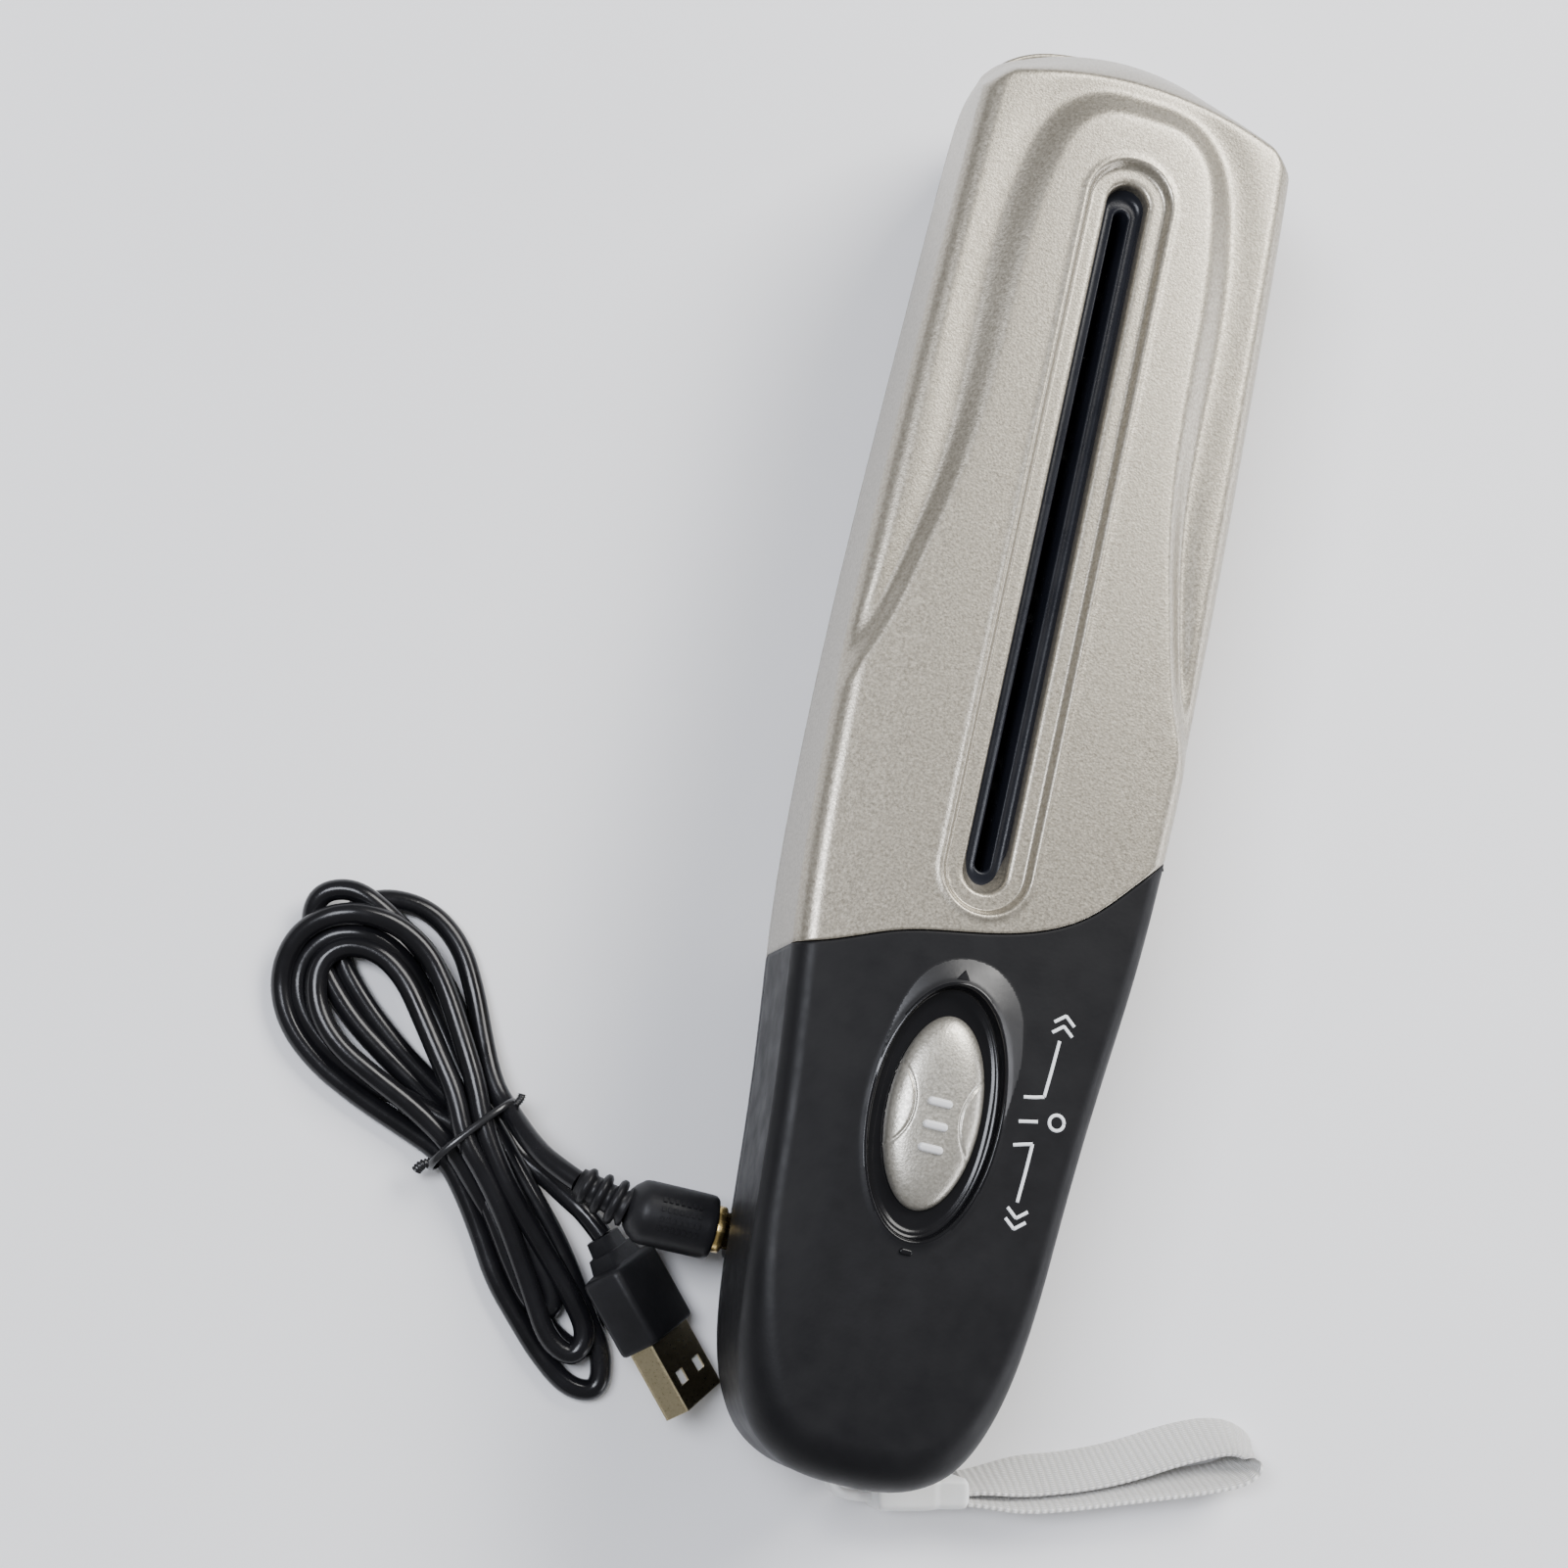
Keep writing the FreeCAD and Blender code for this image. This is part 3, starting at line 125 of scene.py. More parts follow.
class Nearest:
    """Distance in plan from points to a line given as many points."""

    def __init__(self, line):
        self.tree = KDTree(len(line))
        for i, (px, py) in enumerate(line):
            self.tree.insert((px, py, 0.0), i)
        self.tree.balance()

    def distance(self, x, y):
        find = self.tree.find
        found = [find((px, py, 0.0))[2] for px, py in zip(np.ravel(x), np.ravel(y))]
        return np.array(found).reshape(np.shape(x))


def placed(data):
    """An object of the data's own name in the scene."""
    made = bpy.data.objects.new(data.name, data)
    bpy.context.scene.collection.objects.link(made)
    return made


def shown(data, material):
    data.materials.append(material)
    return placed(data)


def mesh_object(name, vertices, faces, material, smooth_shade=True):
    mesh = bpy.data.meshes.new(name)
    mesh.from_pydata([tuple(v) for v in vertices], [], faces)
    mesh.validate()
    work = bmesh.new()
    work.from_mesh(mesh)
    bmesh.ops.remove_doubles(work, verts=work.verts, dist=SAME_POINT)
    bmesh.ops.recalc_face_normals(work, faces=work.faces)
    work.to_mesh(mesh)
    work.free()
    for polygon in mesh.polygons:
        polygon.use_smooth = smooth_shade
    return shown(mesh, material)


def bmesh_object(name, work, material):
    mesh = bpy.data.meshes.new(name)
    work.to_mesh(mesh)
    work.free()
    return shown(mesh, material)


def grid_faces(rows, columns, wrap, base=0):
    """Quads between rows of points; wrap joins the last column to the first."""
    faces = []
    for r in range(rows - 1):
        for c in range(columns if wrap else columns - 1):
            low, high = base + r * columns, base + (r + 1) * columns
            d = (c + 1) % columns
            faces.append((low + c, low + d, high + d, high + c))
    return faces


def capped_faces(rows, columns):
    """Quads round a stack of closed rings, and one face over each end."""
    last = (rows - 1) * columns
    ends = [tuple(range(columns)), tuple(range(last, last + columns))]
    return grid_faces(rows, columns, True) + ends


def rounded_section(width, height, bend, columns):
    """Points round a rectangle whose corners have the radius bend."""
    flat_x, flat_y = width / 2 - bend, height / 2 - bend
    return [(flat_x * math.copysign(1, math.cos(a)) + bend * math.cos(a),
             flat_y * math.copysign(1, math.sin(a)) + bend * math.sin(a))
            for a in turn_angles(columns, 0.5)]


def stacked(name, rows, material, smooth_shade=True):
    """A closed shape from a stack of rings of points in millimetres."""
    grid = np.array(rows)
    return mesh_object(name, grid.reshape(-1, 3) * MM, capped_faces(*grid.shape[:2]),
                       material, smooth_shade)


def looped(name, rows, material):
    """A closed ring of a shape, whose last ring of points joins the first."""
    grid = np.array(rows + rows[:1])
    return mesh_object(name, grid.reshape(-1, 3) * MM, grid_faces(*grid.shape[:2], True),
                       material)


def finish_piece(made, body, slot, *nodes):
    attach(made, body)
    if nodes:
        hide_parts(*nodes)
    return made


def apply_modifiers(made):
    graph = bpy.context.evaluated_depsgraph_get()
    made.data = bpy.data.meshes.new_from_object(made.evaluated_get(graph))
    made.modifiers.clear()
    return made


def thicken(made, thickness):
    """Give an open sheet a wall on its inner side."""
    solid = made.modifiers.new("thickness", "SOLIDIFY")
    solid.thickness = thickness
    solid.offset = -1.0
    solid.use_even_offset = False
    return apply_modifiers(made)


# ---- materials

class Paint:
    """A procedural material built node by node around one Principled shader."""

    def __init__(self, name, color, roughness, metallic=0.0, **values):
        self.material = bpy.data.materials.new(name)
        self.material.use_nodes = True
        self.tree = self.material.node_tree
        self.shader = self.tree.nodes["Principled BSDF"]
        self.shader.inputs["Base Color"].default_value = (*color, 1.0)
        self.shader.inputs["Roughness"].default_value = roughness
        self.shader.inputs["Metallic"].default_value = metallic
        for key, value in values.items():
            self.shader.inputs[key.replace("_", " ")].default_value = value
        self.place = self.node("ShaderNodeTexCoord").outputs["Object"]
        self.height = None

    def node(self, kind, inputs=None, **settings):
        """A new node with its settings made and its inputs set or linked."""
        made = self.tree.nodes.new(kind)
        for key, value in settings.items():
            setattr(made, key, value)
        for key, value in (inputs or {}).items():
            if isinstance(value, bpy.types.NodeSocket):
                self.tree.links.new(value, made.inputs[key])
            else:
                made.inputs[key].default_value = value
        return made

    def feed(self, value, name):
        self.tree.links.new(value, self.shader.inputs[name])

    def noise(self, scale, detail=2.0, roughness=0.5, stretch=None):
        place = self.place
        if stretch:
            mapping = self.node("ShaderNodeMapping", {"Scale": stretch, "Vector": place})
            place = mapping.outputs["Vector"]
        made = self.node("ShaderNodeTexNoise", {"Scale": scale, "Detail": detail,
                                                "Roughness": roughness, "Vector": place})
        return made.outputs["Fac"]

    def cells(self, scale):
        return self.node("ShaderNodeTexVoronoi", {"Scale": scale, "Vector": self.place})

    def ramp(self, value, low, high, out_low=0.0, out_high=1.0):
        made = self.node("ShaderNodeMapRange", {"From Min": low, "From Max": high, "Value": value,
                                                "To Min": out_low, "To Max": out_high})
        return made.outputs["Result"]

    def tint(self, factor, low, high):
        """Base colour from low to high as the factor goes from 0 to 1."""
        made = self.node("ShaderNodeMix", {"A": (*low, 1.0), "B": (*high, 1.0),
                                           "Factor": factor}, data_type="RGBA")
        self.feed(made.outputs["Result"], "Base Color")

    def rough(self, factor, low, high):
        self.feed(self.ramp(factor, 0.3, 0.7, low, high), "Roughness")

    def bump(self, height, distance, strength=1.0):
        inputs = {"Strength": strength, "Distance": distance, "Height": height}
        if self.height is not None:
            inputs["Normal"] = self.height
        self.height = self.node("ShaderNodeBump", inputs).outputs["Normal"]
        self.feed(self.height, "Normal")


def champagne(name="champagne_paint", light=(0.43, 0.395, 0.325), dark=(0.27, 0.243, 0.195)):
    """Metallic lacquer: fine flakes of two sizes under a thin clear coat."""
    paint = Paint(name, light, 0.36, 0.72, Coat_Weight=0.35, Coat_Roughness=0.22)
    flakes = paint.cells(2600.0)
    paint.tint(paint.ramp(paint.noise(1900.0, 3.0, 0.7), 0.34, 0.66), dark, light)
    paint.rough(paint.noise(2400.0, 1.0), 0.30, 0.44)
    paint.bump(flakes.outputs["Distance"], 0.00005, 0.35)
    paint.bump(paint.noise(300.0, 2.0), 0.00003, 0.25)
    return paint.material


def satin_plastic(name, dark, light, low, high, grain=1500.0, depth=0.00003, **values):
    """Moulded plastic with an even fine grain."""
    paint = Paint(name, dark, low, 0.0, **values)
    paint.tint(paint.ramp(paint.noise(60.0, 4.0, 0.65), 0.35, 0.75), dark, light)
    paint.rough(paint.noise(220.0, 3.0), low, high)
    paint.bump(paint.noise(grain, 2.0), depth, 0.5)
    return paint.material


def brushed_metal(name, dark, light, low, high, stretch):
    paint = Paint(name, light, low, 1.0)
    lines = paint.noise(180.0, 5.0, 0.7, stretch)
    paint.tint(paint.ramp(lines, 0.3, 0.7), dark, light)
    paint.rough(lines, low, high)
    paint.bump(lines, 0.00004, 0.4)
    return paint.material


def webbing(name):
    """Woven tape: ribs across and warp threads along, both finer than a millimetre."""
    paint = Paint(name, (0.86, 0.85, 0.83), 0.85, 0.0, Sheen_Weight=0.4, Sheen_Roughness=0.5)
    uv = paint.node("ShaderNodeUVMap", uv_map="weave").outputs["UV"]
    heights = []
    for axis in ("X", "Y"):
        wave = paint.node("ShaderNodeTexWave", {"Scale": 1.0, "Distortion": 0.4, "Detail": 1.0,
                                                "Vector": uv},
                          wave_type="BANDS", bands_direction=axis)
        heights.append(wave.outputs["Fac"])
    mixed = paint.node("ShaderNodeMath", dict(enumerate(heights)), operation="MULTIPLY")
    weave = mixed.outputs["Value"]
    # Darker where the weave is lowest, in the hollows between threads: painted shade on white
    # tape.
    paint.tint(paint.ramp(weave, 0.0, 0.55), (0.50, 0.49, 0.46), (0.90, 0.89, 0.87))
    paint.bump(weave, 0.00035, 0.9)
    return paint.material


CHAMPAGNE = champagne()
KNOB_PAINT = champagne("knob_paint", (0.50, 0.475, 0.42), (0.36, 0.34, 0.29))
# The knob's bars: a light grey, lighter than the knob's own paint; partly the bars' own silver
# tone and partly painted highlight where their tops catch the light.
BAR_SILVER_HIGHLIGHT = satin_plastic("bar_silver_painted_highlight", (0.62, 0.62, 0.62), (0.72, 0.72, 0.72), 0.26, 0.36)
BLACK = satin_plastic("satin_black", (0.007, 0.007, 0.008), (0.011, 0.011, 0.012), 0.40, 0.52,
                      Specular_IOR_Level=0.16)
# A copy of the satin black for the crescent above the switch recess: a little lighter in colour
# as painted highlight where it catches the light, and glossier.
LIT_BOSS_BLACK = satin_plastic("boss_black_painted_highlight", (0.010, 0.010, 0.011), (0.015, 0.015, 0.016), 0.34, 0.44,
                           Specular_IOR_Level=0.5)
MOAT_BLACK = satin_plastic("glossy_black", (0.005, 0.005, 0.006), (0.009, 0.009, 0.010),
                           0.14, 0.22, 900.0, 0.00001, Specular_IOR_Level=0.3)
THROAT_BLACK = satin_plastic("throat_black", (0.008, 0.009, 0.013), (0.013, 0.014, 0.019),
                             0.24, 0.34, Specular_IOR_Level=0.22)
CORD_BLACK = satin_plastic("cord_pvc", (0.006, 0.006, 0.007), (0.011, 0.011, 0.013), 0.16, 0.28,
                           700.0, 0.00004, Specular_IOR_Level=0.3)
PLUG_BLACK = satin_plastic("plug_moulding", (0.009, 0.009, 0.010), (0.015, 0.015, 0.017),
                           0.34, 0.46, 1200.0, 0.00005, Specular_IOR_Level=0.22)
TIE_BLACK = satin_plastic("tie_plastic", (0.012, 0.012, 0.013), (0.02, 0.02, 0.022), 0.16, 0.28)
GOLD = brushed_metal("gold_plate", (0.62, 0.44, 0.16), (0.83, 0.64, 0.28), 0.18, 0.32,
                     (1.0, 8.0, 8.0))
USB_STEEL = brushed_metal("plated_shell", (0.50, 0.43, 0.27), (0.60, 0.53, 0.35), 0.26, 0.34,
                          (14.0, 14.0, 3.0))
STEEL = brushed_metal("plate_steel", (0.46, 0.46, 0.47), (0.66, 0.66, 0.67), 0.28, 0.42,
                      (8.0, 1.0, 8.0))
BLADE = brushed_metal("blade_steel", (0.50, 0.50, 0.52), (0.74, 0.74, 0.75), 0.16, 0.30,
                      (6.0, 1.0, 6.0))
BRONZE = brushed_metal("bush_bronze", (0.42, 0.26, 0.11), (0.60, 0.41, 0.20), 0.34, 0.5,
                       (3.0, 1.0, 3.0))
MOTOR = brushed_metal("motor_can", (0.50, 0.50, 0.49), (0.68, 0.68, 0.66), 0.26, 0.4,
                      (1.0, 8.0, 1.0))
SPRING = brushed_metal("spring_wire", (0.55, 0.55, 0.54), (0.78, 0.77, 0.75), 0.18, 0.3,
                       (4.0, 4.0, 4.0))
GEAR = satin_plastic("gear_nylon", (0.70, 0.68, 0.62), (0.80, 0.78, 0.72), 0.38, 0.5)
SPACER = satin_plastic("spacer_nylon", (0.05, 0.05, 0.055), (0.08, 0.08, 0.085), 0.4, 0.55)
CELL = satin_plastic("cell_wrap", (0.03, 0.06, 0.10), (0.06, 0.11, 0.17), 0.2, 0.3)
BOARD = satin_plastic("board_resin", (0.010, 0.075, 0.028), (0.02, 0.12, 0.045), 0.3, 0.45)
WHITE = satin_plastic("white_plastic", (0.80, 0.80, 0.79), (0.88, 0.88, 0.87), 0.34, 0.46,
                      900.0, 0.00003, Subsurface_Weight=0.05)
INK = satin_plastic("white_ink", (0.78, 0.80, 0.82), (0.88, 0.89, 0.90), 0.5, 0.62)
WEBBING = webbing("white_webbing")

NODES_BY_FINISH = (
    (CHAMPAGNE, "head_rear_cover"),
    (BLACK, "handle_rear_cover battery_door battery_tray"),
    (THROAT_BLACK, "feed_throat exit_chute stripper_comb_right stripper_comb_left"),
    (GEAR, "sync_gear_right sync_gear_left final_gear idler_gear"),
    (BRONZE, "motor_pinion axle_bushes"),
    (BLADE, "cutter_blades_right cutter_blades_left"),
    (SPACER, "cutter_spacers_right cutter_spacers_left"),
    (STEEL, "cutter_axle_right cutter_axle_left low_end_plate high_end_plate frame_rail_left "
            "frame_rail_right frame_screws cover_screws motor_plate idler_pin motor_shaft "
            "lanyard_pin"),
    (MOTOR, "motor"),
    (CELL, "battery_cells"),
    (SPRING, "contact_springs contact_plate"),
    (WHITE, "switch_carriage usb_tongue"),
    (BOARD, "control_board"),
    (PLUG_BLACK, "slide_switch power_jack"),
    (GOLD, "plug_barrel"),
)


# ---- camera

CAMERA_PLACE = Vector((-0.09573, -0.10045, 0.44603))
CAMERA_AIM = Vector((-0.03309, -0.02000, 0.04600))
CAMERA_ROLL = 0.226
CAMERA_LENS, CAMERA_SENSOR = 63.8, 36.0


def make_camera():
    """Looks down on the object from above its left side."""
    forward = (CAMERA_AIM - CAMERA_PLACE).normalized()
    level = forward.cross(Vector((0.0, 1.0, 0.0))).normalized()
    rise = level.cross(forward)
    right = level * math.cos(CAMERA_ROLL) + rise * math.sin(CAMERA_ROLL)
    up = rise * math.cos(CAMERA_ROLL) - level * math.sin(CAMERA_ROLL)
    camera = bpy.data.objects.new("camera", bpy.data.cameras.new("camera"))
    bpy.context.scene.collection.objects.link(camera)
    camera.matrix_world = Matrix.Translation(CAMERA_PLACE) @ Matrix(
        (right, up, -forward)).transposed().to_4x4()
    camera.data.sensor_width = CAMERA_SENSOR
    camera.data.lens = CAMERA_LENS
    camera.data.clip_start, camera.data.clip_end = 0.01, 20.0
    bpy.context.scene.camera = camera


make_camera()


# ---- power cord

LEAD_DIAMETER = 3.4
TIE = Vector((-62.5, -78.7, 0.0))
TIE_ACROSS = Vector((0.672, 0.741, 0.0))


def waist(across, height):
    """A point where the hank passes through its tie."""
    return tuple(TIE + TIE_ACROSS * across + Vector((0.0, 0.0, height)))


PLUG_LEAD = [(-45.8, -82.6, 16.6), (-49.6, -81.0, 14.6), (-53.2, -78.8, 11.8)]
LOBE_1 = [waist(6.6, 6.4), (-61.2, -70.4, 5.0), (-64.2, -64.0, 3.2), (-67.4, -56.4, 2.0),
          (-71.4, -49.6, 1.7), (-77.8, -45.3, 1.7), (-85.6, -45.4, 1.7), (-90.4, -49.8, 1.7),
          (-89.6, -56.2, 1.7), (-84.8, -61.6, 1.7), (-79.4, -66.2, 1.7), (-73.0, -70.8, 1.7),
          waist(1.75, 1.7)]
TAIL_1 = [(-55.8, -83.8, 1.7), (-50.0, -89.6, 1.7), (-44.4, -94.6, 1.7), (-39.4, -99.6, 1.7),
          (-35.2, -104.0, 1.7), (-37.6, -108.2, 1.7), (-43.4, -105.6, 1.7),
          (-49.2, -99.0, 1.7), (-54.4, -92.2, 1.9), (-59.6, -86.8, 3.6), waist(-3.5, 4.7)]
LOBE_2 = [(-72.4, -76.8, 5.0), (-79.6, -73.6, 5.2), (-86.4, -70.2, 5.0), (-91.0, -65.2, 4.4),
          (-92.6, -58.8, 4.2), (-89.8, -54.6, 4.6), (-84.0, -54.2, 5.0), (-78.8, -57.4, 5.2),
          (-74.6, -62.8, 5.6), (-70.8, -68.0, 6.4), (-66.6, -73.6, 7.2), waist(-1.75, 7.6)]
TAIL_2 = [(-59.4, -84.2, 7.2), (-54.8, -89.8, 6.4), (-50.8, -95.6, 5.6), (-47.0, -101.4, 4.9),
          (-43.4, -107.0, 4.6), (-38.8, -109.0, 4.6), (-37.4, -104.8, 5.0),
          (-41.2, -99.8, 5.4), (-46.0, -94.8, 6.0), (-51.2, -89.6, 6.8), (-56.4, -84.2, 7.4),
          waist(1.75, 7.6)]
LOBE_3 = [(-63.8, -71.4, 7.2), (-68.0, -64.2, 6.4), (-72.2, -57.4, 5.8), (-76.8, -52.0, 5.8),
          (-83.2, -49.2, 6.4), (-90.4, -49.4, 6.8), (-96.4, -53.6, 4.4), (-98.0, -60.6, 1.9),
          (-95.2, -67.8, 1.7), (-89.0, -73.2, 1.7), (-81.0, -77.0, 1.7), (-73.4, -79.8, 1.7),
          waist(-5.2, 1.7)]
TAIL_3 = [(-61.8, -87.0, 1.7), (-57.4, -93.2, 1.7), (-53.4, -99.6, 1.7), (-48.6, -104.6, 1.7),
          (-43.6, -109.6, 1.7), (-38.0, -113.6, 1.7), (-33.2, -113.0, 1.7),
          (-34.2, -107.0, 2.2), (-38.4, -101.8, 3.6), (-42.4, -96.0, 4.8), (-46.6, -90.6, 5.0),
          (-51.6, -85.4, 5.0), (-56.4, -80.2, 4.9), waist(3.5, 4.7)]
LOBE_4 = [(-65.2, -71.8, 3.6), (-69.8, -65.4, 2.2), (-74.6, -59.0, 1.7), (-79.6, -54.2, 3.0),
          (-85.8, -51.8, 4.4), (-91.8, -53.2, 3.6), (-95.2, -58.6, 1.9), (-93.8, -65.2, 1.7),
          (-88.2, -70.6, 1.7), (-81.0, -73.8, 1.9), (-73.2, -76.0, 3.8), waist(0.0, 4.7)]
TAIL_4 = [(-58.2, -83.4, 4.6), (-53.6, -88.8, 4.6), (-49.0, -94.0, 4.6), (-45.0, -98.6, 4.4),
          (-43.4, -102.4, 3.8), (-47.0, -102.4, 3.2), (-51.4, -97.0, 3.4), (-55.6, -90.8, 3.6),
          (-60.0, -85.0, 2.6), waist(-1.75, 1.7)]
LOBE_5 = [(-70.6, -74.4, 1.7), (-77.8, -70.2, 1.7), (-84.6, -65.8, 1.7), (-90.2, -60.4, 1.7),
          (-94.6, -54.4, 2.0), (-95.6, -47.8, 4.0), (-90.2, -45.4, 5.2), (-84.2, -48.0, 5.4),
          (-77.6, -51.6, 3.0), (-71.2, -57.2, 1.9), (-66.6, -64.8, 1.7), (-62.4, -72.2, 1.7),
          waist(5.2, 1.7)]
USB_LEAD = [(-54.2, -80.4, 2.2), (-49.6, -82.4, 4.0), (-45.2, -85.2, 6.4), (-42.6, -86.6, 7.6),
            (-39.2, -89.5, 8.0)]
LEAD_ROUTE = (PLUG_LEAD + LOBE_1 + TAIL_1 + LOBE_2 + TAIL_2 + LOBE_3 + TAIL_3 + LOBE_4
              + TAIL_4 + LOBE_5 + USB_LEAD)


def nurbs_cord(name, route, diameter, material, resolution=8):
    """One smooth open cord with the route's points, in millimetres, as its control points."""
    curve = bpy.data.curves.new(name, "CURVE")
    curve.dimensions = "3D"
    line = curve.splines.new("NURBS")
    line.points.add(len(route) - 1)
    for point, place in zip(line.points, route):
        point.co = (*(value * MM for value in place), 1.0)
    line.order_u = 3
    line.use_endpoint_u = True
    line.resolution_u = resolution
    curve.bevel_depth = diameter / 2.0 * MM
    curve.bevel_resolution = 5
    curve.use_fill_caps = True
    return shown(curve, material)


def centreline(route, resolution=16):
    """Points in millimetres read from the smooth spline of a route."""
    guide = nurbs_cord("guide", route, 0.0, CORD_BLACK, resolution)
    guide.data.bevel_depth = 0.0
    guide.data.use_fill_caps = False
    bpy.context.view_layer.update()
    graph = bpy.context.evaluated_depsgraph_get()
    mesh = bpy.data.meshes.new_from_object(guide.evaluated_get(graph))
    points = np.array([v.co for v in mesh.vertices]) / MM
    bpy.data.meshes.remove(mesh)
    bpy.data.objects.remove(guide)
    return points


power_cord = nurbs_cord("power_cord", LEAD_ROUTE, LEAD_DIAMETER, CORD_BLACK)
finish_piece(power_cord, "housing", "cord_black", "plug_lead", "lead_hank", "usb_lead")

LANYARD_ROUTE = [(12.4, -119.6, 5.0), (8.0, -120.2, 6.6), (4.2, -118.9, 9.6),
                 (2.4, -115.6, 12.0), (2.3, -111.8, 12.6), (5.3, -108.9, 12.4),
                 (8.2, -112.0, 12.0), (8.9, -115.6, 11.0), (9.9, -117.9, 8.0),
                 (12.1, -118.2, 5.4)]
LANYARD_DIAMETER = 1.6
lanyard = nurbs_cord("lanyard_cord", LANYARD_ROUTE, LANYARD_DIAMETER, WHITE, 10)
finish_piece(lanyard, "housing", "webbing_white", "lanyard_loop")


# ---- wrist strap

STRAP_ROUTE = [(26.9, -116.5), (36.0, -115.2), (44.0, -113.0), (52.0, -110.3), (63.0, -106.7),
               (71.2, -103.6), (74.2, -100.0), (69.4, -97.4), (60.5, -101.0), (52.0, -105.8),
               (44.0, -109.1), (36.0, -111.4), (26.7, -114.5)]
STRAP_WIDTH, STRAP_THICK = 9.0, 1.3
RIBS_ALONG, RIBS_ACROSS = 0.26, 0.75


def make_strap():
    """Flat webbing on its edge, leaning outwards between the clip and the loop's end."""
    line = centreline([(x, y, STRAP_WIDTH / 2) for x, y in STRAP_ROUTE], 24)
    count, steps = 260, 24
    line = resample(line, count)
    side = np.column_stack([sideways(line[:, :2]), np.zeros(count)])
    share = np.linspace(0.0, 1.0, count)
    tilt = (12.0 + 10.0 * smooth(0.0, 0.1, share) + 18.0 * smooth(0.42, 0.62, share)
            - 22.0 * smooth(0.88, 1.0, share))
    lean = -np.radians(tilt) * np.clip(side[:, 1] * 1.2, -1.0, 1.0)
    line[:, 2] = STRAP_WIDTH / 2 * np.cos(lean) + STRAP_THICK / 2 * np.abs(np.sin(lean)) + 0.05
    section = []
    for angle in turn_angles(steps):
        section.append((rounded_power(math.cos(angle), 0.35) * STRAP_WIDTH / 2,
                        rounded_power(math.sin(angle), 0.8) * STRAP_THICK / 2))
    vertices, coordinates = [], []
    along = np.concatenate([[0.0], np.cumsum(np.linalg.norm(np.diff(line, axis=0), axis=1))])
    for i in range(count):
        up = np.array([0.0, 0.0, math.cos(lean[i])]) + side[i] * math.sin(lean[i])
        out = side[i] * math.cos(lean[i]) - np.array([0.0, 0.0, math.sin(lean[i])])
        for across, push in section:
            vertices.append((line[i] + up * across + out * push) * MM)
            coordinates.append((along[i] * RIBS_ALONG, across * RIBS_ACROSS))
    made = mesh_object("strap_webbing", vertices, capped_faces(count, steps), WEBBING)
    layer = made.data.uv_layers.new(name="weave")
    for loop in made.data.loops:
        layer.data[loop.index].uv = coordinates[loop.vertex_index]
    return made, line * MM


strap, strap_line = make_strap()
finish_piece(strap, "housing", "webbing_white", "wrist_strap")


# ---- casing shapes

HIP, END = 28.25, 117.5
FRONT, FACE_ABOVE, PARTING = 46.0, 40.0, 23.0
HALF_OUTLINE = [(share * HIP, END - down) for share, down in (
    (0.0, 0.0), (0.32, 0.5), (0.60, 2.6), (0.80, 7.2), (0.905, 14.0), (0.935, 22.0),
    (0.958, 42.0), (0.985, 73.0), (1.0, 105.0), (0.985, 133.0), (0.948, 152.0), (0.88, 170.0),
    (0.825, 187.0), (0.782, 205.0), (0.737, 216.0), (0.655, 224.5), (0.53, 230.3),
    (0.30, 234.1), (0.0, 2.0 * END))]
OUTLINE = spline(HALF_OUTLINE + [(-x, y) for x, y in reversed(HALF_OUTLINE[1:-1])], 6000, True)
SEAM = spline([(-60.0, -42.0), (-42.0, -42.8), (-25.0, -42.0), (-12.5, -37.4), (-3.5, -35.2),
               (6.0, -33.2), (16.3, -28.4), (27.0, -17.0), (60.0, 14.0)], 4000, False)
PANEL_HALF = [(0.0, 101.5), (7.0, 100.8), (12.5, 96.5), (15.5, 88.5), (17.4, 74.0),
              (18.1, 55.0), (19.8, 34.0), (21.9, 20.0), (24.6, 6.0), (29.5, -6.0),
              (35.0, -18.0)]
PANEL = spline([(-x, y) for x, y in reversed(PANEL_HALF[1:])] + PANEL_HALF, 4000, False)
TO_OUTLINE, TO_SEAM, TO_PANEL = Nearest(OUTLINE), Nearest(SEAM), Nearest(PANEL)
SLOT_CENTRE, SLOT_LENGTH, SLOT_WIDTH = 30.0, 109.0, 2.4
WINDOW_LENGTH, WINDOW_WIDTH = 116.0, 6.6
WINDOW_REACH = (WINDOW_LENGTH - WINDOW_WIDTH) / 2.0
SWITCH_CENTRE, MOAT_LENGTH, MOAT_WIDTH, MOAT_DEPTH = -62.0, 38.5, 20.0, 1.8
MOAT_CENTRE = np.array([0.0, SWITCH_CENTRE])
STEM_SLOT_HALF, STEM_SLOT_REACH = 3.2, 5.3


def seam_y(x):
    return np.interp(x, SEAM[:, 0], SEAM[:, 1])


def panel_inside(x, y):
    """How far inside the raised bottle-shaped panel a point is, negative outside."""
    half = PANEL[PANEL[:, 0] >= 0.0]
    order = np.argsort(half[:, 1])
    width = np.interp(y, half[order, 1], half[order, 0], right=-1.0)
    inside = np.where(np.abs(x) < width, 1.0, -1.0)
    return inside * TO_PANEL.distance(x, y)


END_SLOPE = spline([(30.0, 120.0), (94.0, 54.5), (101.6, 48.0), (105.2, 44.4), (108.4, 40.6),
                    (111.3, 36.4), (114.2, 31.6), (116.5, 27.2), (117.9, 21.0)], 300, False)


def end_slope(x, y):
    """Height of the head's sloping far end, bowed in plan and turned in at both corners."""
    reach = y + 0.0075 * x ** 2 + 3.4 * smooth(21.5, 28.0, np.abs(x))
    reach = reach + 0.0058 * x ** 2 * smooth(104.0, 112.0, reach)
    return np.interp(reach, END_SLOPE[:, 0], END_SLOPE[:, 1])


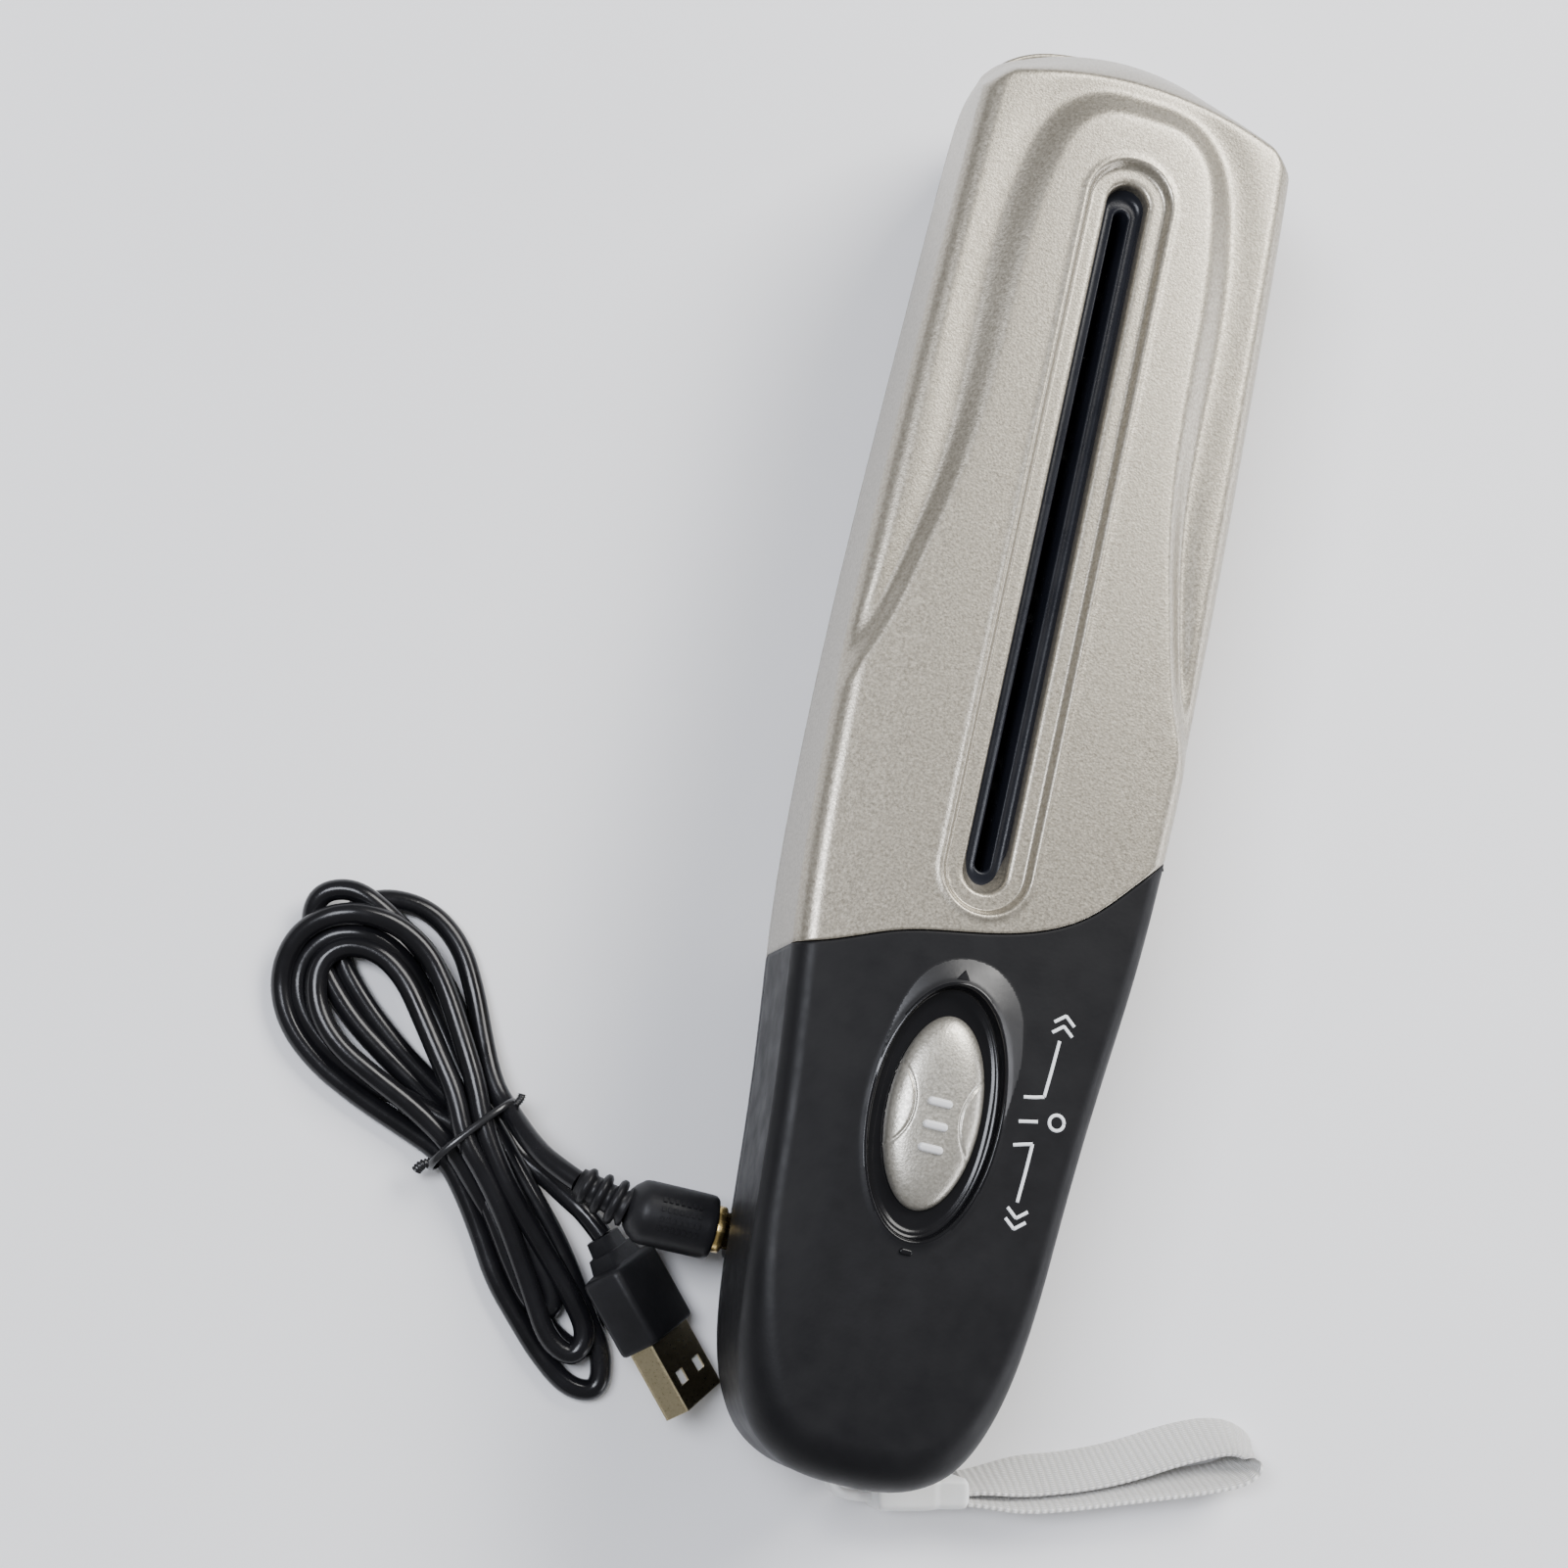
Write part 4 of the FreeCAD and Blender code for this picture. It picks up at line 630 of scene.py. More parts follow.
SIDE_ROUND, CROWN, LOW_END_DROP = 3.4, 0.8, 0.9
PANEL_STEP, VALLEY_DEPTH = 1.75, 0.45
SLOPE_FROM, SLOPE_BLEND = 85.0, 0.35
BAND_DEPTH, BAND_INNER, BAND_OUTER, BAND_EDGE = 1.25, 6.0, 7.0, 0.2
LIP_RADIUS = 0.9
BOSS_REACH, BOSS_RISE, RIM_RISE = 4.6, 1.3, 0.22
BOSS_MIDDLE, BOSS_SPREAD = math.radians(76.0), math.radians(46.0)
SEAM_ROUND, SEAM_REACH = 0.35, 0.45


def front_height(x, y, edge):
    """Height of the casing's front, from the distance to its outline."""
    side_round = SIDE_ROUND * (1.0 + smooth(-80.0, -116.0, y))
    near = np.clip(side_round - edge, 0.0, side_round)
    height = FRONT - side_round + np.sqrt(np.maximum(side_round ** 2 - near ** 2, 0.0))
    height = height - CROWN * (x / HIP) ** 2 - LOW_END_DROP * smooth(-85.0, -118.0, y) ** 2

    # The raised panel: outside its edge the face is lower, with a faint valley along it.
    inside = panel_inside(x, y)
    fade = smooth(-14.0, 14.0, y)
    wide = 2.0 + 2.6 * smooth(15.0, 70.0, y)
    shift = 2.3 * smooth(-5.0, 45.0, y)
    base = 1.0 - smooth(shift - wide, shift + 0.9, inside)
    valley = np.exp(-((inside - shift + wide) / (0.8 * wide)) ** 2)
    height = height - fade * (PANEL_STEP * base + VALLEY_DEPTH * valley)

    # The sloping far end cuts it off, with a rounded edge.
    slope = end_slope(x, y)
    mixed = 0.5 * (height + slope - np.sqrt((height - slope) ** 2 + SLOPE_BLEND))
    return np.where(y > SLOPE_FROM, np.maximum(mixed, PARTING + 0.3), height)


def window_distance(x, y):
    """Distance from the middle line of the feed window."""
    beyond = np.clip(np.abs(y - SLOT_CENTRE) - WINDOW_REACH, 0.0, None)
    return np.hypot(x, beyond)


def seam_rounding(seam_gap):
    """How far a cover's edge is turned down towards the seam."""
    turn = np.clip(1.0 - seam_gap / SEAM_REACH, 0.0, 1.0)
    return SEAM_ROUND * (1.0 - np.sqrt(1.0 - turn ** 2))


def head_height(x, y, edge, seam_gap):
    """The head's front: a sunk band with a fine edge round the rounded window."""
    height = front_height(x, y, edge)
    ring = window_distance(x, y)
    height = height - BAND_DEPTH * (1.0 - smooth(BAND_INNER, BAND_OUTER, ring))
    height = height + BAND_EDGE * np.exp(-((ring - BAND_OUTER - 0.3) / 0.5) ** 2)
    lip = np.clip(1.0 - (ring - WINDOW_WIDTH / 2) / LIP_RADIUS, 0.0, 1.0)
    height = height - LIP_RADIUS * (1.0 - np.sqrt(1.0 - lip ** 2))
    return height - seam_rounding(seam_gap)


def moat_reach(x, y):
    """Millimetres outside the edge of the switch recess, negative inside it."""
    a, b = MOAT_WIDTH / 2, MOAT_LENGTH / 2
    dx, dy = x, y - SWITCH_CENTRE
    q = np.sqrt((dx / a) ** 2 + (dy / b) ** 2)
    slope = np.sqrt((dx / a ** 2) ** 2 + (dy / b ** 2) ** 2)
    return (q - 1.0) * q / np.maximum(slope, 1e-6)


def boss_width(x, y):
    """Width of the raised crescent round the recess's upper end, seen from its centre."""
    angle = np.arctan2(y - SWITCH_CENTRE, x)
    return BOSS_REACH * np.exp(-((angle - BOSS_MIDDLE) / BOSS_SPREAD) ** 2)


def handle_height(x, y, edge, seam_gap):
    """The handle's front: a raised crescent and a fine rim round the switch recess."""
    height = front_height(x, y, edge)
    reach = moat_reach(x, y)
    height = height + BOSS_RISE * np.clip((boss_width(x, y) - reach) / 4.0, 0.0, 1.05)
    height = height + RIM_RISE * np.exp(-((reach - 0.15) / 0.55) ** 2)
    return height - seam_rounding(seam_gap)


SEAM_GAP, COVER_WALL, ENDS_FROM = 0.10, 1.3, 90.0


def cover_boundary(head):
    """Closed boundary of a front cover in plan: outline part first, then its seam edge."""
    above = OUTLINE[:, 1] > seam_y(OUTLINE[:, 0])
    keep = above if head else ~above
    first = int(np.flatnonzero(keep & ~np.roll(keep, 1))[0])
    run = np.roll(OUTLINE, -first, axis=0)[:int(keep.sum())]
    rim = resample(run, 420 if head else 300)
    x = np.linspace(rim[-1, 0], rim[0, 0], 130)[1:-1]
    gap = SEAM_GAP if head else -SEAM_GAP
    return rim, np.stack([x, seam_y(x) + gap], axis=1)


def hold_inside(made):
    """Keep the thickened corners of a cover within the casing's outline."""
    side = OUTLINE[OUTLINE[:, 0] > 0.0]
    order = np.argsort(side[:, 1])
    for vertex in made.data.vertices:
        x, y = vertex.co.x / MM, vertex.co.y / MM
        widest = float(np.interp(y, side[order, 1], side[order, 0]))
        if abs(y) < ENDS_FROM and abs(x) > widest + 0.02:
            vertex.co.x = math.copysign(widest - 0.05, x) * MM
    return made


def outer_steps():
    """Shares of the way from the inner line to the boundary, closer together at both ends."""
    even = np.linspace(0.0, 1.0, 74)
    steps = list(even[:-14])
    last = steps[-1]
    steps += [last + (1.0 - last) * math.sin(math.pi / 2 * k / 22) for k in range(1, 23)]
    return np.array([0.0, 0.004, 0.009, 0.016, 0.024] + [s for s in steps if s > 0.028])


def window_frame(boundary):
    """Where the head cover starts round the feed window, and the way out from there."""
    middle = np.stack([np.zeros(len(boundary)),
                       np.clip(boundary[:, 1], SLOT_CENTRE - WINDOW_REACH,
                               SLOT_CENTRE + WINDOW_REACH)], axis=1)
    away = boundary - middle
    away /= np.linalg.norm(away, axis=1)[:, None]
    return middle + away * WINDOW_WIDTH / 2, away


def window_walls(inner, away, top):
    """Rows of points from the window's edge down its walls, slanting at the low end."""
    rows = []
    low_end = smooth(-20.0, -27.5, inner[:, 1])
    for depth, pull in ((0.35, 0.03), (1.0, 0.06), (2.0, 0.10), (2.45, 0.12)):
        slant = pull + low_end * depth * 0.62
        rows.append(np.column_stack([inner - away * slant[:, None], top - depth]))
    return rows


def recess_edge(boundary):
    """Where the handle cover starts round the switch recess."""
    away = boundary - MOAT_CENTRE
    q = np.hypot(away[:, 0] / (MOAT_WIDTH / 2), away[:, 1] / (MOAT_LENGTH / 2))
    return MOAT_CENTRE + away / q[:, None]


def recess_walls(inner, top):
    """Rows of points down the recess, over its low ledge and in to the stem's slot."""
    rows = []
    floor = FRONT - MOAT_DEPTH
    reach = np.linalg.norm(inner - MOAT_CENTRE, axis=1)
    for share, ledge, pull in ((0.97, 0.0, 0.12), (0.88, 0.0, 0.26), (0.5, 0.0, 0.42),
                               (0.22, 0.0, 0.52), (0.0, 0.22, 0.64), (0.0, 0.20, 1.2),
                               (0.0, 0.18, 1.45), (0.0, 0.05, 1.7), (0.0, 0.0, 2.1)):
        place = MOAT_CENTRE + (inner - MOAT_CENTRE) * (1.0 - pull / reach)[:, None]
        rows.append(np.column_stack([place, floor + ledge + (top - floor) * share]))
    last = rows[-1][:, :2]
    middle = np.stack([np.zeros(len(last)),
                       np.clip(last[:, 1], SWITCH_CENTRE - STEM_SLOT_REACH,
                               SWITCH_CENTRE + STEM_SLOT_REACH)], axis=1)
    out = last - middle
    out /= np.linalg.norm(out, axis=1)[:, None]
    slot = middle + out * STEM_SLOT_HALF
    for share in (0.3, 0.65, 1.0):
        rows.append(level(*(last + (slot - last) * share).T, floor))
    return rows


def side_walls(rim, top):
    """Rows of points from the outline down to the parting line."""
    outward = sideways(rim)
    outward *= np.sign((outward * rim).sum(axis=1))[:, None]
    rows = []
    for share in (0.12, 0.3, 0.5, 0.7, 0.88, 0.985, 1.0):
        pull = 0.14 if share == 1.0 else 0.0
        rows.append(np.column_stack([rim - outward * pull,
                                     top + (PARTING + 0.02 - top) * share]))
    return np.array(rows)


def front_skin(name, head, material):
    """One front cover: its opening's walls, its modelled face and its side walls."""
    rim, seam_edge = cover_boundary(head)
    boundary = np.vstack([rim, seam_edge])
    if head:
        inner, away = window_frame(boundary)
    else:
        inner = recess_edge(boundary)
    shares = outer_steps()
    plan = inner[None] + shares[:, None, None] * (boundary - inner)[None]
    x, y = plan[..., 0], plan[..., 1]
    edge = TO_OUTLINE.distance(x, y)
    edge[-1, :len(rim)] = 0.0
    shape = head_height if head else handle_height
    z = shape(x, y, edge, TO_SEAM.distance(x, y))
    inward = window_walls(inner, away, z[0]) if head else recess_walls(inner, z[0])
    grid = np.vstack([np.array(inward[::-1]), np.stack([x, y, z], axis=2)])
    columns, count = len(boundary), len(rim)
    faces = grid_faces(len(grid), columns, True)

    walls = side_walls(rim, z[-1, :count])
    start, base = (len(grid) - 1) * columns, len(grid) * columns
    faces += [(start + c, start + c + 1, base + c + 1, base + c) for c in range(count - 1)]
    faces += grid_faces(len(walls), count, False, base)
    vertices = np.vstack([grid.reshape(-1, 3), walls.reshape(-1, 3)])
    made = mesh_object(name, vertices * MM, faces, material)
    up = sum(p.normal.z * p.area for p in made.data.polygons)
    if up < 0.0:
        made.data.flip_normals()
    return hold_inside(thicken(made, COVER_WALL * MM))


def gloss_recess(cover):
    """Glossy material in the switch recess, and on the crescent above it a half-glossy copy of
    the satin black whose lighter colour is painted highlight.
    """
    cover.data.materials.append(MOAT_BLACK)
    cover.data.materials.append(LIT_BOSS_BLACK)
    for polygon in cover.data.polygons:
        x, y, z = polygon.center / MM
        reach = float(moat_reach(x, y))
        if z <= FACE_ABOVE:
            continue
        if reach < 0.35:
            polygon.material_index = 1
        elif reach < boss_width(x, y) - 0.15:
            polygon.material_index = 2


head_cover = front_skin("head_front_shell", True, CHAMPAGNE)
finish_piece(head_cover, "housing", "silver_paint", "head_front_cover")
handle_cover = front_skin("handle_front_shell", False, BLACK)
gloss_recess(handle_cover)
finish_piece(handle_cover, "housing", "black_plastic", "handle_front_cover")


# ---- feed throat

def make_throat():
    """Black insert in the window, dished towards a narrow lipped slot."""
    turn = even_turn(240)
    rows = []
    profile = [(5.0, 42.9), (4.6, 43.0), (3.25, 42.6), (3.0, 41.9), (2.4, 41.75), (1.75, 41.7),
               (1.55, 41.85), (1.35, 41.85), (1.2, 41.6), (1.2, 36.0), (1.2, 30.0), (2.4, 30.0),
               (2.4, 38.0), (2.4, 41.0), (5.0, 41.0)]
    slot_reach = (SLOT_LENGTH - SLOT_WIDTH) / 2.0
    for reach, height in profile:
        blend = min(1.0, max(0.0, (reach - SLOT_WIDTH / 2) / 2.0))
        if reach == 2.4 and height < 41.5:
            blend = 0.0
        half = slot_reach * (1.0 - blend) + WINDOW_REACH * blend
        x = reach * np.cos(turn)
        y = SLOT_CENTRE + reach * np.sin(turn) + half * np.tanh(np.sin(turn) * 40.0)
        rows.append(level(x, y, height))
    return looped("throat_insert", rows, THROAT_BLACK)


finish_piece(make_throat(), "housing", "throat_black", "feed_throat")


# ---- switch knob

KNOB_CENTRE, KNOB_LENGTH, KNOB_WIDTH = SWITCH_CENTRE, 29.2, 14.4
KNOB_FOOT, KNOB_UNDERSIDE, KNOB_RISE, KNOB_CROWN = 44.6, 44.5, 2.25, 0.5
ARC_OFFSET, ARC_RADIUS, ARC_GROOVE, ARC_HOLLOW = 11.9, 8.3, 0.22, 0.14
STEM_HALF, STEM_REACH, STEM_FOOT = 2.6, 4.2, 42.5


def knob_height(x, y):
    """The knob's domed top, with a groove and a hollow in an arc on each side."""
    q = np.sqrt((x / (KNOB_WIDTH / 2)) ** 2 + ((y - KNOB_CENTRE) / (KNOB_LENGTH / 2)) ** 2)
    dome = np.clip(1.0 - np.minimum(q, 1.0) ** 5, 0.0, 1.0) ** 0.45
    height = KNOB_FOOT + KNOB_RISE * dome + KNOB_CROWN * (1.0 - np.minimum(q, 1.0) ** 2)
    for side in (-1.0, 1.0):
        reach = np.hypot(x - side * ARC_OFFSET, y - KNOB_CENTRE) - ARC_RADIUS
        height = height - ARC_GROOVE * np.exp(-(reach / 0.22) ** 2)
        height = height - ARC_HOLLOW * smooth(0.0, -2.6, reach) * (q < 1.0)
    return height


def make_knob():
    turn = even_turn(260)
    shares = np.concatenate([np.linspace(0.02, 0.86, 92), 1.0 - np.geomspace(0.13, 0.0008, 22),
                             [1.0]])
    rows = []
    for q in shares:
        x = q * KNOB_WIDTH / 2 * np.cos(turn)
        y = KNOB_CENTRE + q * KNOB_LENGTH / 2 * np.sin(turn)
        rows.append(np.stack([x, y, knob_height(x, y)], axis=1))
    away = rows[-1][:, :2] - MOAT_CENTRE
    for lift, scale in ((0.08, 1.0), (0.0, 0.985), (0.0, 0.9), (0.0, 0.45)):
        rows.append(level(*(MOAT_CENTRE + away * scale).T, KNOB_UNDERSIDE + lift))
    stem = away / np.hypot(away[:, 0] / STEM_HALF, away[:, 1] / STEM_REACH)[:, None]
    for height in (KNOB_UNDERSIDE, STEM_FOOT):
        rows.append(level(*(MOAT_CENTRE + stem).T, height))
    return stacked("knob_cap", rows, KNOB_PAINT)


finish_piece(make_knob(), "knob", "silver_paint", "switch_knob")


def rounded_bar(name, centre, length, width, height, material):
    """A small bar across the handle, with round ends and a rounded top."""
    rows, angles = [], even_turn(48)
    reach = (length - width) / 2.0
    for drop, scale in ((1.0, 1.0), (0.55, 1.0), (0.28, 0.93), (0.1, 0.78), (0.0, 0.5),
                        (-0.02, 0.2)):
        x = width / 2 * scale * np.cos(angles) + reach * np.tanh(np.cos(angles) * 12.0)
        y = width / 2 * scale * np.sin(angles)
        rows.append(level(centre[0] + x, centre[1] + y, centre[2] + height * (1.0 - drop)))
    return stacked(name, rows, material)


# Three bars on the knob, in the lighter material that carries a painted highlight.
for i in range(3):
    bar = rounded_bar("knob_bar_%d" % i, (0.0, KNOB_CENTRE - 2.0 + 3.45 * (1 - i), 46.8),
                      3.9, 1.3, 1.05, BAR_SILVER_HIGHLIGHT)
    finish_piece(bar, "knob", "silver_paint")


# ---- printed marks

INK_WIDTH = 0.5


def surface_z(x, y):
    point = (np.array([x]), np.array([y]))
    edge = TO_OUTLINE.distance(*point)
    gap = TO_SEAM.distance(*point)
    return float(handle_height(*point, edge, gap)[0])


def ink_line(name, points):
    """A thin printed line that lies on the handle's surface."""
    line = resample(np.array(points, float), 26)
    rows = []
    for place, out in zip(line, sideways(line)):
        row = []
        for across, lift in ((-1.0, -0.1), (-1.0, 0.03), (1.0, 0.03), (1.0, -0.1)):
            px, py = place + out * across * INK_WIDTH / 2
            row.append((px, py, surface_z(px, py) + lift))
        rows.append(row)
    return finish_piece(stacked(name, rows, INK), "housing", "tongue_white")


def ring_points(x, y, radius):
    return [(x + radius * math.cos(a), y + radius * math.sin(a))
            for a in np.linspace(0.0, 2.0 * math.pi, 26)]


def chevron(x, y, rise):
    return [(x - 1.6, y - rise), (x, y), (x + 1.6, y - rise)]


MARKS = {
    "mark_forward_line": [(16.3, -47.2), (16.0, -52.0), (15.7, -55.9)],
    "mark_forward_foot": [(15.7, -55.9), (14.2, -56.3), (12.6, -56.6)],
    "mark_off_dash": [(12.6, -60.3), (14.0, -60.0), (15.5, -59.7)],
    "mark_reverse_foot": [(12.5, -63.9), (13.9, -63.5), (15.4, -63.1)],
    "mark_reverse_line": [(15.4, -63.1), (15.2, -67.6), (14.9, -72.0)],
    "mark_forward_low": chevron(16.5, -44.9, 1.3),
    "mark_forward_high": chevron(16.5, -43.3, 1.3),
    "mark_off_ring": ring_points(18.4, -59.2, 1.15),
    "mark_reverse_high": chevron(15.2, -74.3, -1.3),
    "mark_reverse_low": chevron(15.2, -75.9, -1.3),
}
for name, points in MARKS.items():
    ink_line(name, points)


def raised_arrow(name, centre, reach):
    """A small moulded arrowhead that stands on the handle and points up it."""
    rows = []
    foot = surface_z(*centre)
    for lift, scale in ((-0.2, 1.0), (0.12, 1.0), (0.24, 0.84), (0.3, 0.6)):
        rows.append([(centre[0] + reach * scale * across, centre[1] + reach * scale * along,
                      foot + lift) for across, along in ((0.0, 0.9), (-1.0, -0.6), (1.0, -0.6))])
    return stacked(name, rows, BLACK, False)


arrow = raised_arrow("handle_arrow", (-0.3, -41.5), 1.15)
finish_piece(arrow, "housing", "black_plastic")
dash = rounded_bar("handle_dash", (-0.1, -82.8, surface_z(-0.1, -82.8) - 0.1), 2.0, 0.95, 0.5,
                   MOAT_BLACK)
finish_piece(dash, "housing", "black_plastic")


# ---- plugs

def turned(name, profile, foot, axis, material, columns=72):
    """A closed shape turned about an axis, from (distance along, radius) pairs in mm."""
    axis = Vector(axis).normalized()
    side = axis.orthogonal().normalized()
    other = axis.cross(side)
    rows = []
    for along, radius in profile:
        centre = Vector(foot) + axis * along
        rows.append([centre + (side * math.cos(a) + other * math.sin(a)) * radius
                     for a in turn_angles(columns)])
    return stacked(name, rows, material)


JACK_FACE, JACK_ALONG, JACK_HEIGHT = -21.4, -84.8, 18.0
PLUG_REACH, PLUG_RADIUS, RING_AT = 16.4, 4.98, 13.9
PLUG_START = (JACK_FACE - PLUG_REACH, JACK_ALONG, JACK_HEIGHT)
LEAD_START = Vector((-45.8, -82.6, 16.6))

plug_body = turned("power_plug_body",
                   [(0.0, 2.6), (0.12, 3.0), (0.9, 3.9), (2.0, 4.75), (2.5, 4.9), (3.2, 4.98),
                    (8.0, 5.0), (12.4, 5.0), (13.3, 4.92), (13.7, 4.6), (13.8, 4.1),
                    (13.8, 2.8)],
                   PLUG_START, (1, 0, 0), PLUG_BLACK)
finish_piece(plug_body, "housing", "plug_black", "power_plug")
barrel_ring = turned("plug_gold_ring",
                     [(-0.2, 2.8), (-0.2, 3.5), (0.0, 3.62), (1.2, 3.62), (1.4, 3.45),
                      (1.4, 2.85), (2.6, 2.8), (2.6, 2.4)],
                     (PLUG_START[0] + RING_AT, JACK_ALONG, JACK_HEIGHT), (1, 0, 0), GOLD)
finish_piece(barrel_ring, "housing", "brass_barrel")


def plug_grip():
    """Where the four rows of short raised ribs lie on top of the plug."""
    for row in range(4):
        for i in range(7):
            x = PLUG_START[0] + 5.0 + i * 0.95
            angle = math.radians(62.0 + row * 17.0)
            y = JACK_ALONG + PLUG_RADIUS * math.cos(angle)
            z = JACK_HEIGHT + PLUG_RADIUS * math.sin(angle)
            yield (x, y, z, angle)


def make_grip():
    work = bmesh.new()
    for x, y, z, angle in plug_grip():
        block = bmesh.ops.create_cube(work, size=1.0)
        spin = Matrix.Rotation(angle - math.pi / 2, 4, "X")
        place = Matrix.Translation(Vector((x, y, z)) * MM) @ spin @ Matrix.Diagonal(
            (0.6 * MM, 0.85 * MM, 0.52 * MM, 1.0))
        bmesh.ops.transform(work, matrix=place, verts=block["verts"])
    bmesh.ops.bevel(work, geom=work.edges[:], offset=0.08 * MM, segments=2, affect="EDGES")
    return bmesh_object("plug_grip_ribs", work, PLUG_BLACK)


grip_ribs = make_grip()
finish_piece(grip_ribs, "housing", "plug_black")

relief_axis = LEAD_START - Vector(PLUG_START)
relief_profile = [(-0.3, 3.0), (0.3, 3.2)]
for k in range(3):
    start, radius = 1.0 + 2.55 * k, 3.75 - 0.35 * k
    relief_profile += [(start, 2.35), (start + 0.12, radius - 0.5), (start + 0.45, radius - 0.08),
                       (start + 0.8, radius), (start + 1.15, radius - 0.08),
                       (start + 1.48, radius - 0.5), (start + 1.6, 2.35), (start + 2.3, 2.25)]
relief_profile += [(relief_axis.length - 0.1, 2.2), (relief_axis.length + 0.1, 1.9)]
relief = turned("power_plug_relief", relief_profile, PLUG_START, relief_axis, PLUG_BLACK)
finish_piece(relief, "housing", "plug_black", "plug_strain_relief")


USB_POINT = Vector((-35.8, -93.2, 8.0))
USB_AIM = Vector((0.68, -0.73, 0.0)).normalized()
USB_ROLL = math.radians(-50.0)
usb_across = Vector((0.0, 0.0, 1.0)).cross(USB_AIM).normalized()
usb_turn = Matrix.Rotation(USB_ROLL, 3, USB_AIM)
usb_axes = usb_turn @ Matrix((usb_across, USB_AIM.cross(usb_across), USB_AIM)).transposed()
USB_PLACE = Matrix.Translation(USB_POINT * MM) @ usb_axes.to_4x4()


def usb_loft(name, sections, material, corner, columns=44):
    """A body along the plug's own axis from (along, width, height) sections."""
    vertices = []
    for along, width, height in sections:
        bend = min(corner, width / 2 - 0.01, height / 2 - 0.01)
        vertices += [USB_PLACE @ (Vector((x, y, along)) * MM)
                     for x, y in rounded_section(width, height, bend, columns)]
    return mesh_object(name, vertices, capped_faces(len(sections), columns), material)


usb_body = usb_loft("usb_grip_body",
                    [(-5.0, 4.3, 4.3), (-4.9, 4.7, 4.7), (-2.6, 5.2, 5.0), (-2.5, 6.6, 5.4),
                     (-2.4, 6.9, 5.6), (-0.3, 8.2, 6.0), (-0.2, 9.6, 6.2), (0.0, 11.6, 6.6),
                     (0.15, 12.8, 7.0), (0.5, 13.4, 7.3), (1.2, 13.6, 7.4), (12.2, 13.6, 7.4),
                     (12.7, 13.4, 7.2), (12.95, 12.9, 6.8), (13.0, 12.0, 5.6)],
                    PLUG_BLACK, 1.3)
finish_piece(usb_body, "housing", "plug_black", "usb_grip")


SHELL_WIDTH, SHELL_HEIGHT, SHELL_WALL = 12.0, 4.5, 0.32
SHELL_START, SHELL_END, HOLES_FROM, HOLES_TO = 12.6, 24.5, 18.6, 20.8


def pierced_sheet(work, us, vs, holes, at):
    """Add a flat wall in cells between the lines us and vs, less the cells in holes."""
    grid = {(i, j, k): work.verts.new(USB_PLACE @ (at(u, v, w) * MM))
            for i, u in enumerate(us) for j, v in enumerate(vs)
            for k, w in enumerate((0.0, -SHELL_WALL))}

    def through(a, b):
        """A face through the wall's thickness along one side of a cell."""
        work.faces.new((grid[(*a, 0)], grid[(*b, 0)], grid[(*b, 1)], grid[(*a, 1)]))

    last_u, last_v = len(us) - 1, len(vs) - 1
    for i in range(last_u):
        for j in range(last_v):
            corners = [(i, j), (i + 1, j), (i + 1, j + 1), (i, j + 1)]
            if (i, j) in holes:
                for k in range(4):
                    through(corners[k], corners[(k + 1) % 4])
                continue
            for k in (0, 1):
                work.faces.new([grid[(*corner, k)] for corner in corners])
    for i in range(last_u):
        for j in (0, last_v):
            through((i, j), (i + 1, j))
    for j in range(last_v):
        for i in (0, last_u):
            through((i, j), (i, j + 1))


def make_usb_shell():
    """Folded sheet shell, open at its end, with two square holes in each broad face."""
    half_width, half_height = SHELL_WIDTH / 2, SHELL_HEIGHT / 2
    work = bmesh.new()
    for sign in (1.0, -1.0):
        pierced_sheet(work, [-half_width, -4.0, -1.8, 1.8, 4.0, half_width],
                      [SHELL_START, HOLES_FROM, HOLES_TO, SHELL_END], {(1, 1), (3, 1)},
                      lambda u, v, w, s=sign: Vector((u, s * (half_height + w), v)))
        pierced_sheet(work, [-half_height + SHELL_WALL, half_height - SHELL_WALL],
                      [SHELL_START, HOLES_FROM, SHELL_END], (),
                      lambda u, v, w, s=sign: Vector((s * (half_width + w), u, v)))
    bmesh.ops.recalc_face_normals(work, faces=work.faces)
    made = bmesh_object("usb_shell_metal", work, USB_STEEL)
    edge = made.modifiers.new("edge", "BEVEL")
    edge.width = 0.12 * MM
    edge.segments = 2
    edge.limit_method = "ANGLE"
    return apply_modifiers(made)


usb_shell = make_usb_shell()
finish_piece(usb_shell, "housing", "usb_metal", "usb_shell")


# ---- tie and clip

def make_tie():
    """Thin plastic-coated wire pulled round the hank's waist."""
    reach, rise, middle = 8.3, 4.7, 5.0
    points = []
    for a in turn_angles(16):
        across = reach * rounded_power(math.cos(a), 0.75)
        height = middle + rise * rounded_power(math.sin(a), 0.8)
        skew = Vector((-TIE_ACROSS.y, TIE_ACROSS.x, 0.0)) * 0.9 * math.sin(a + 0.5)
        points.append(tuple(TIE + TIE_ACROSS * across + skew + Vector((0.0, 0.0, height))))
    line = [Vector(point) for point in spline(points, 140, True)]
    rings = []
    for i, place in enumerate(line):
        ahead = (line[(i + 1) % len(line)] - line[i - 1]).normalized()
        out = (place - (TIE + Vector((0.0, 0.0, middle)))).normalized()
        out = (out - ahead * out.dot(ahead)).normalized()
        wide = ahead.cross(out)
        rings.append([place + out * 0.42 * math.cos(a) + wide * 0.62 * math.sin(a)
                      for a in turn_angles(14)])
    return looped("cord_tie_wire", rings, TIE_BLACK)


tie = make_tie()
finish_piece(tie, "housing", "plug_black", "hank_tie")


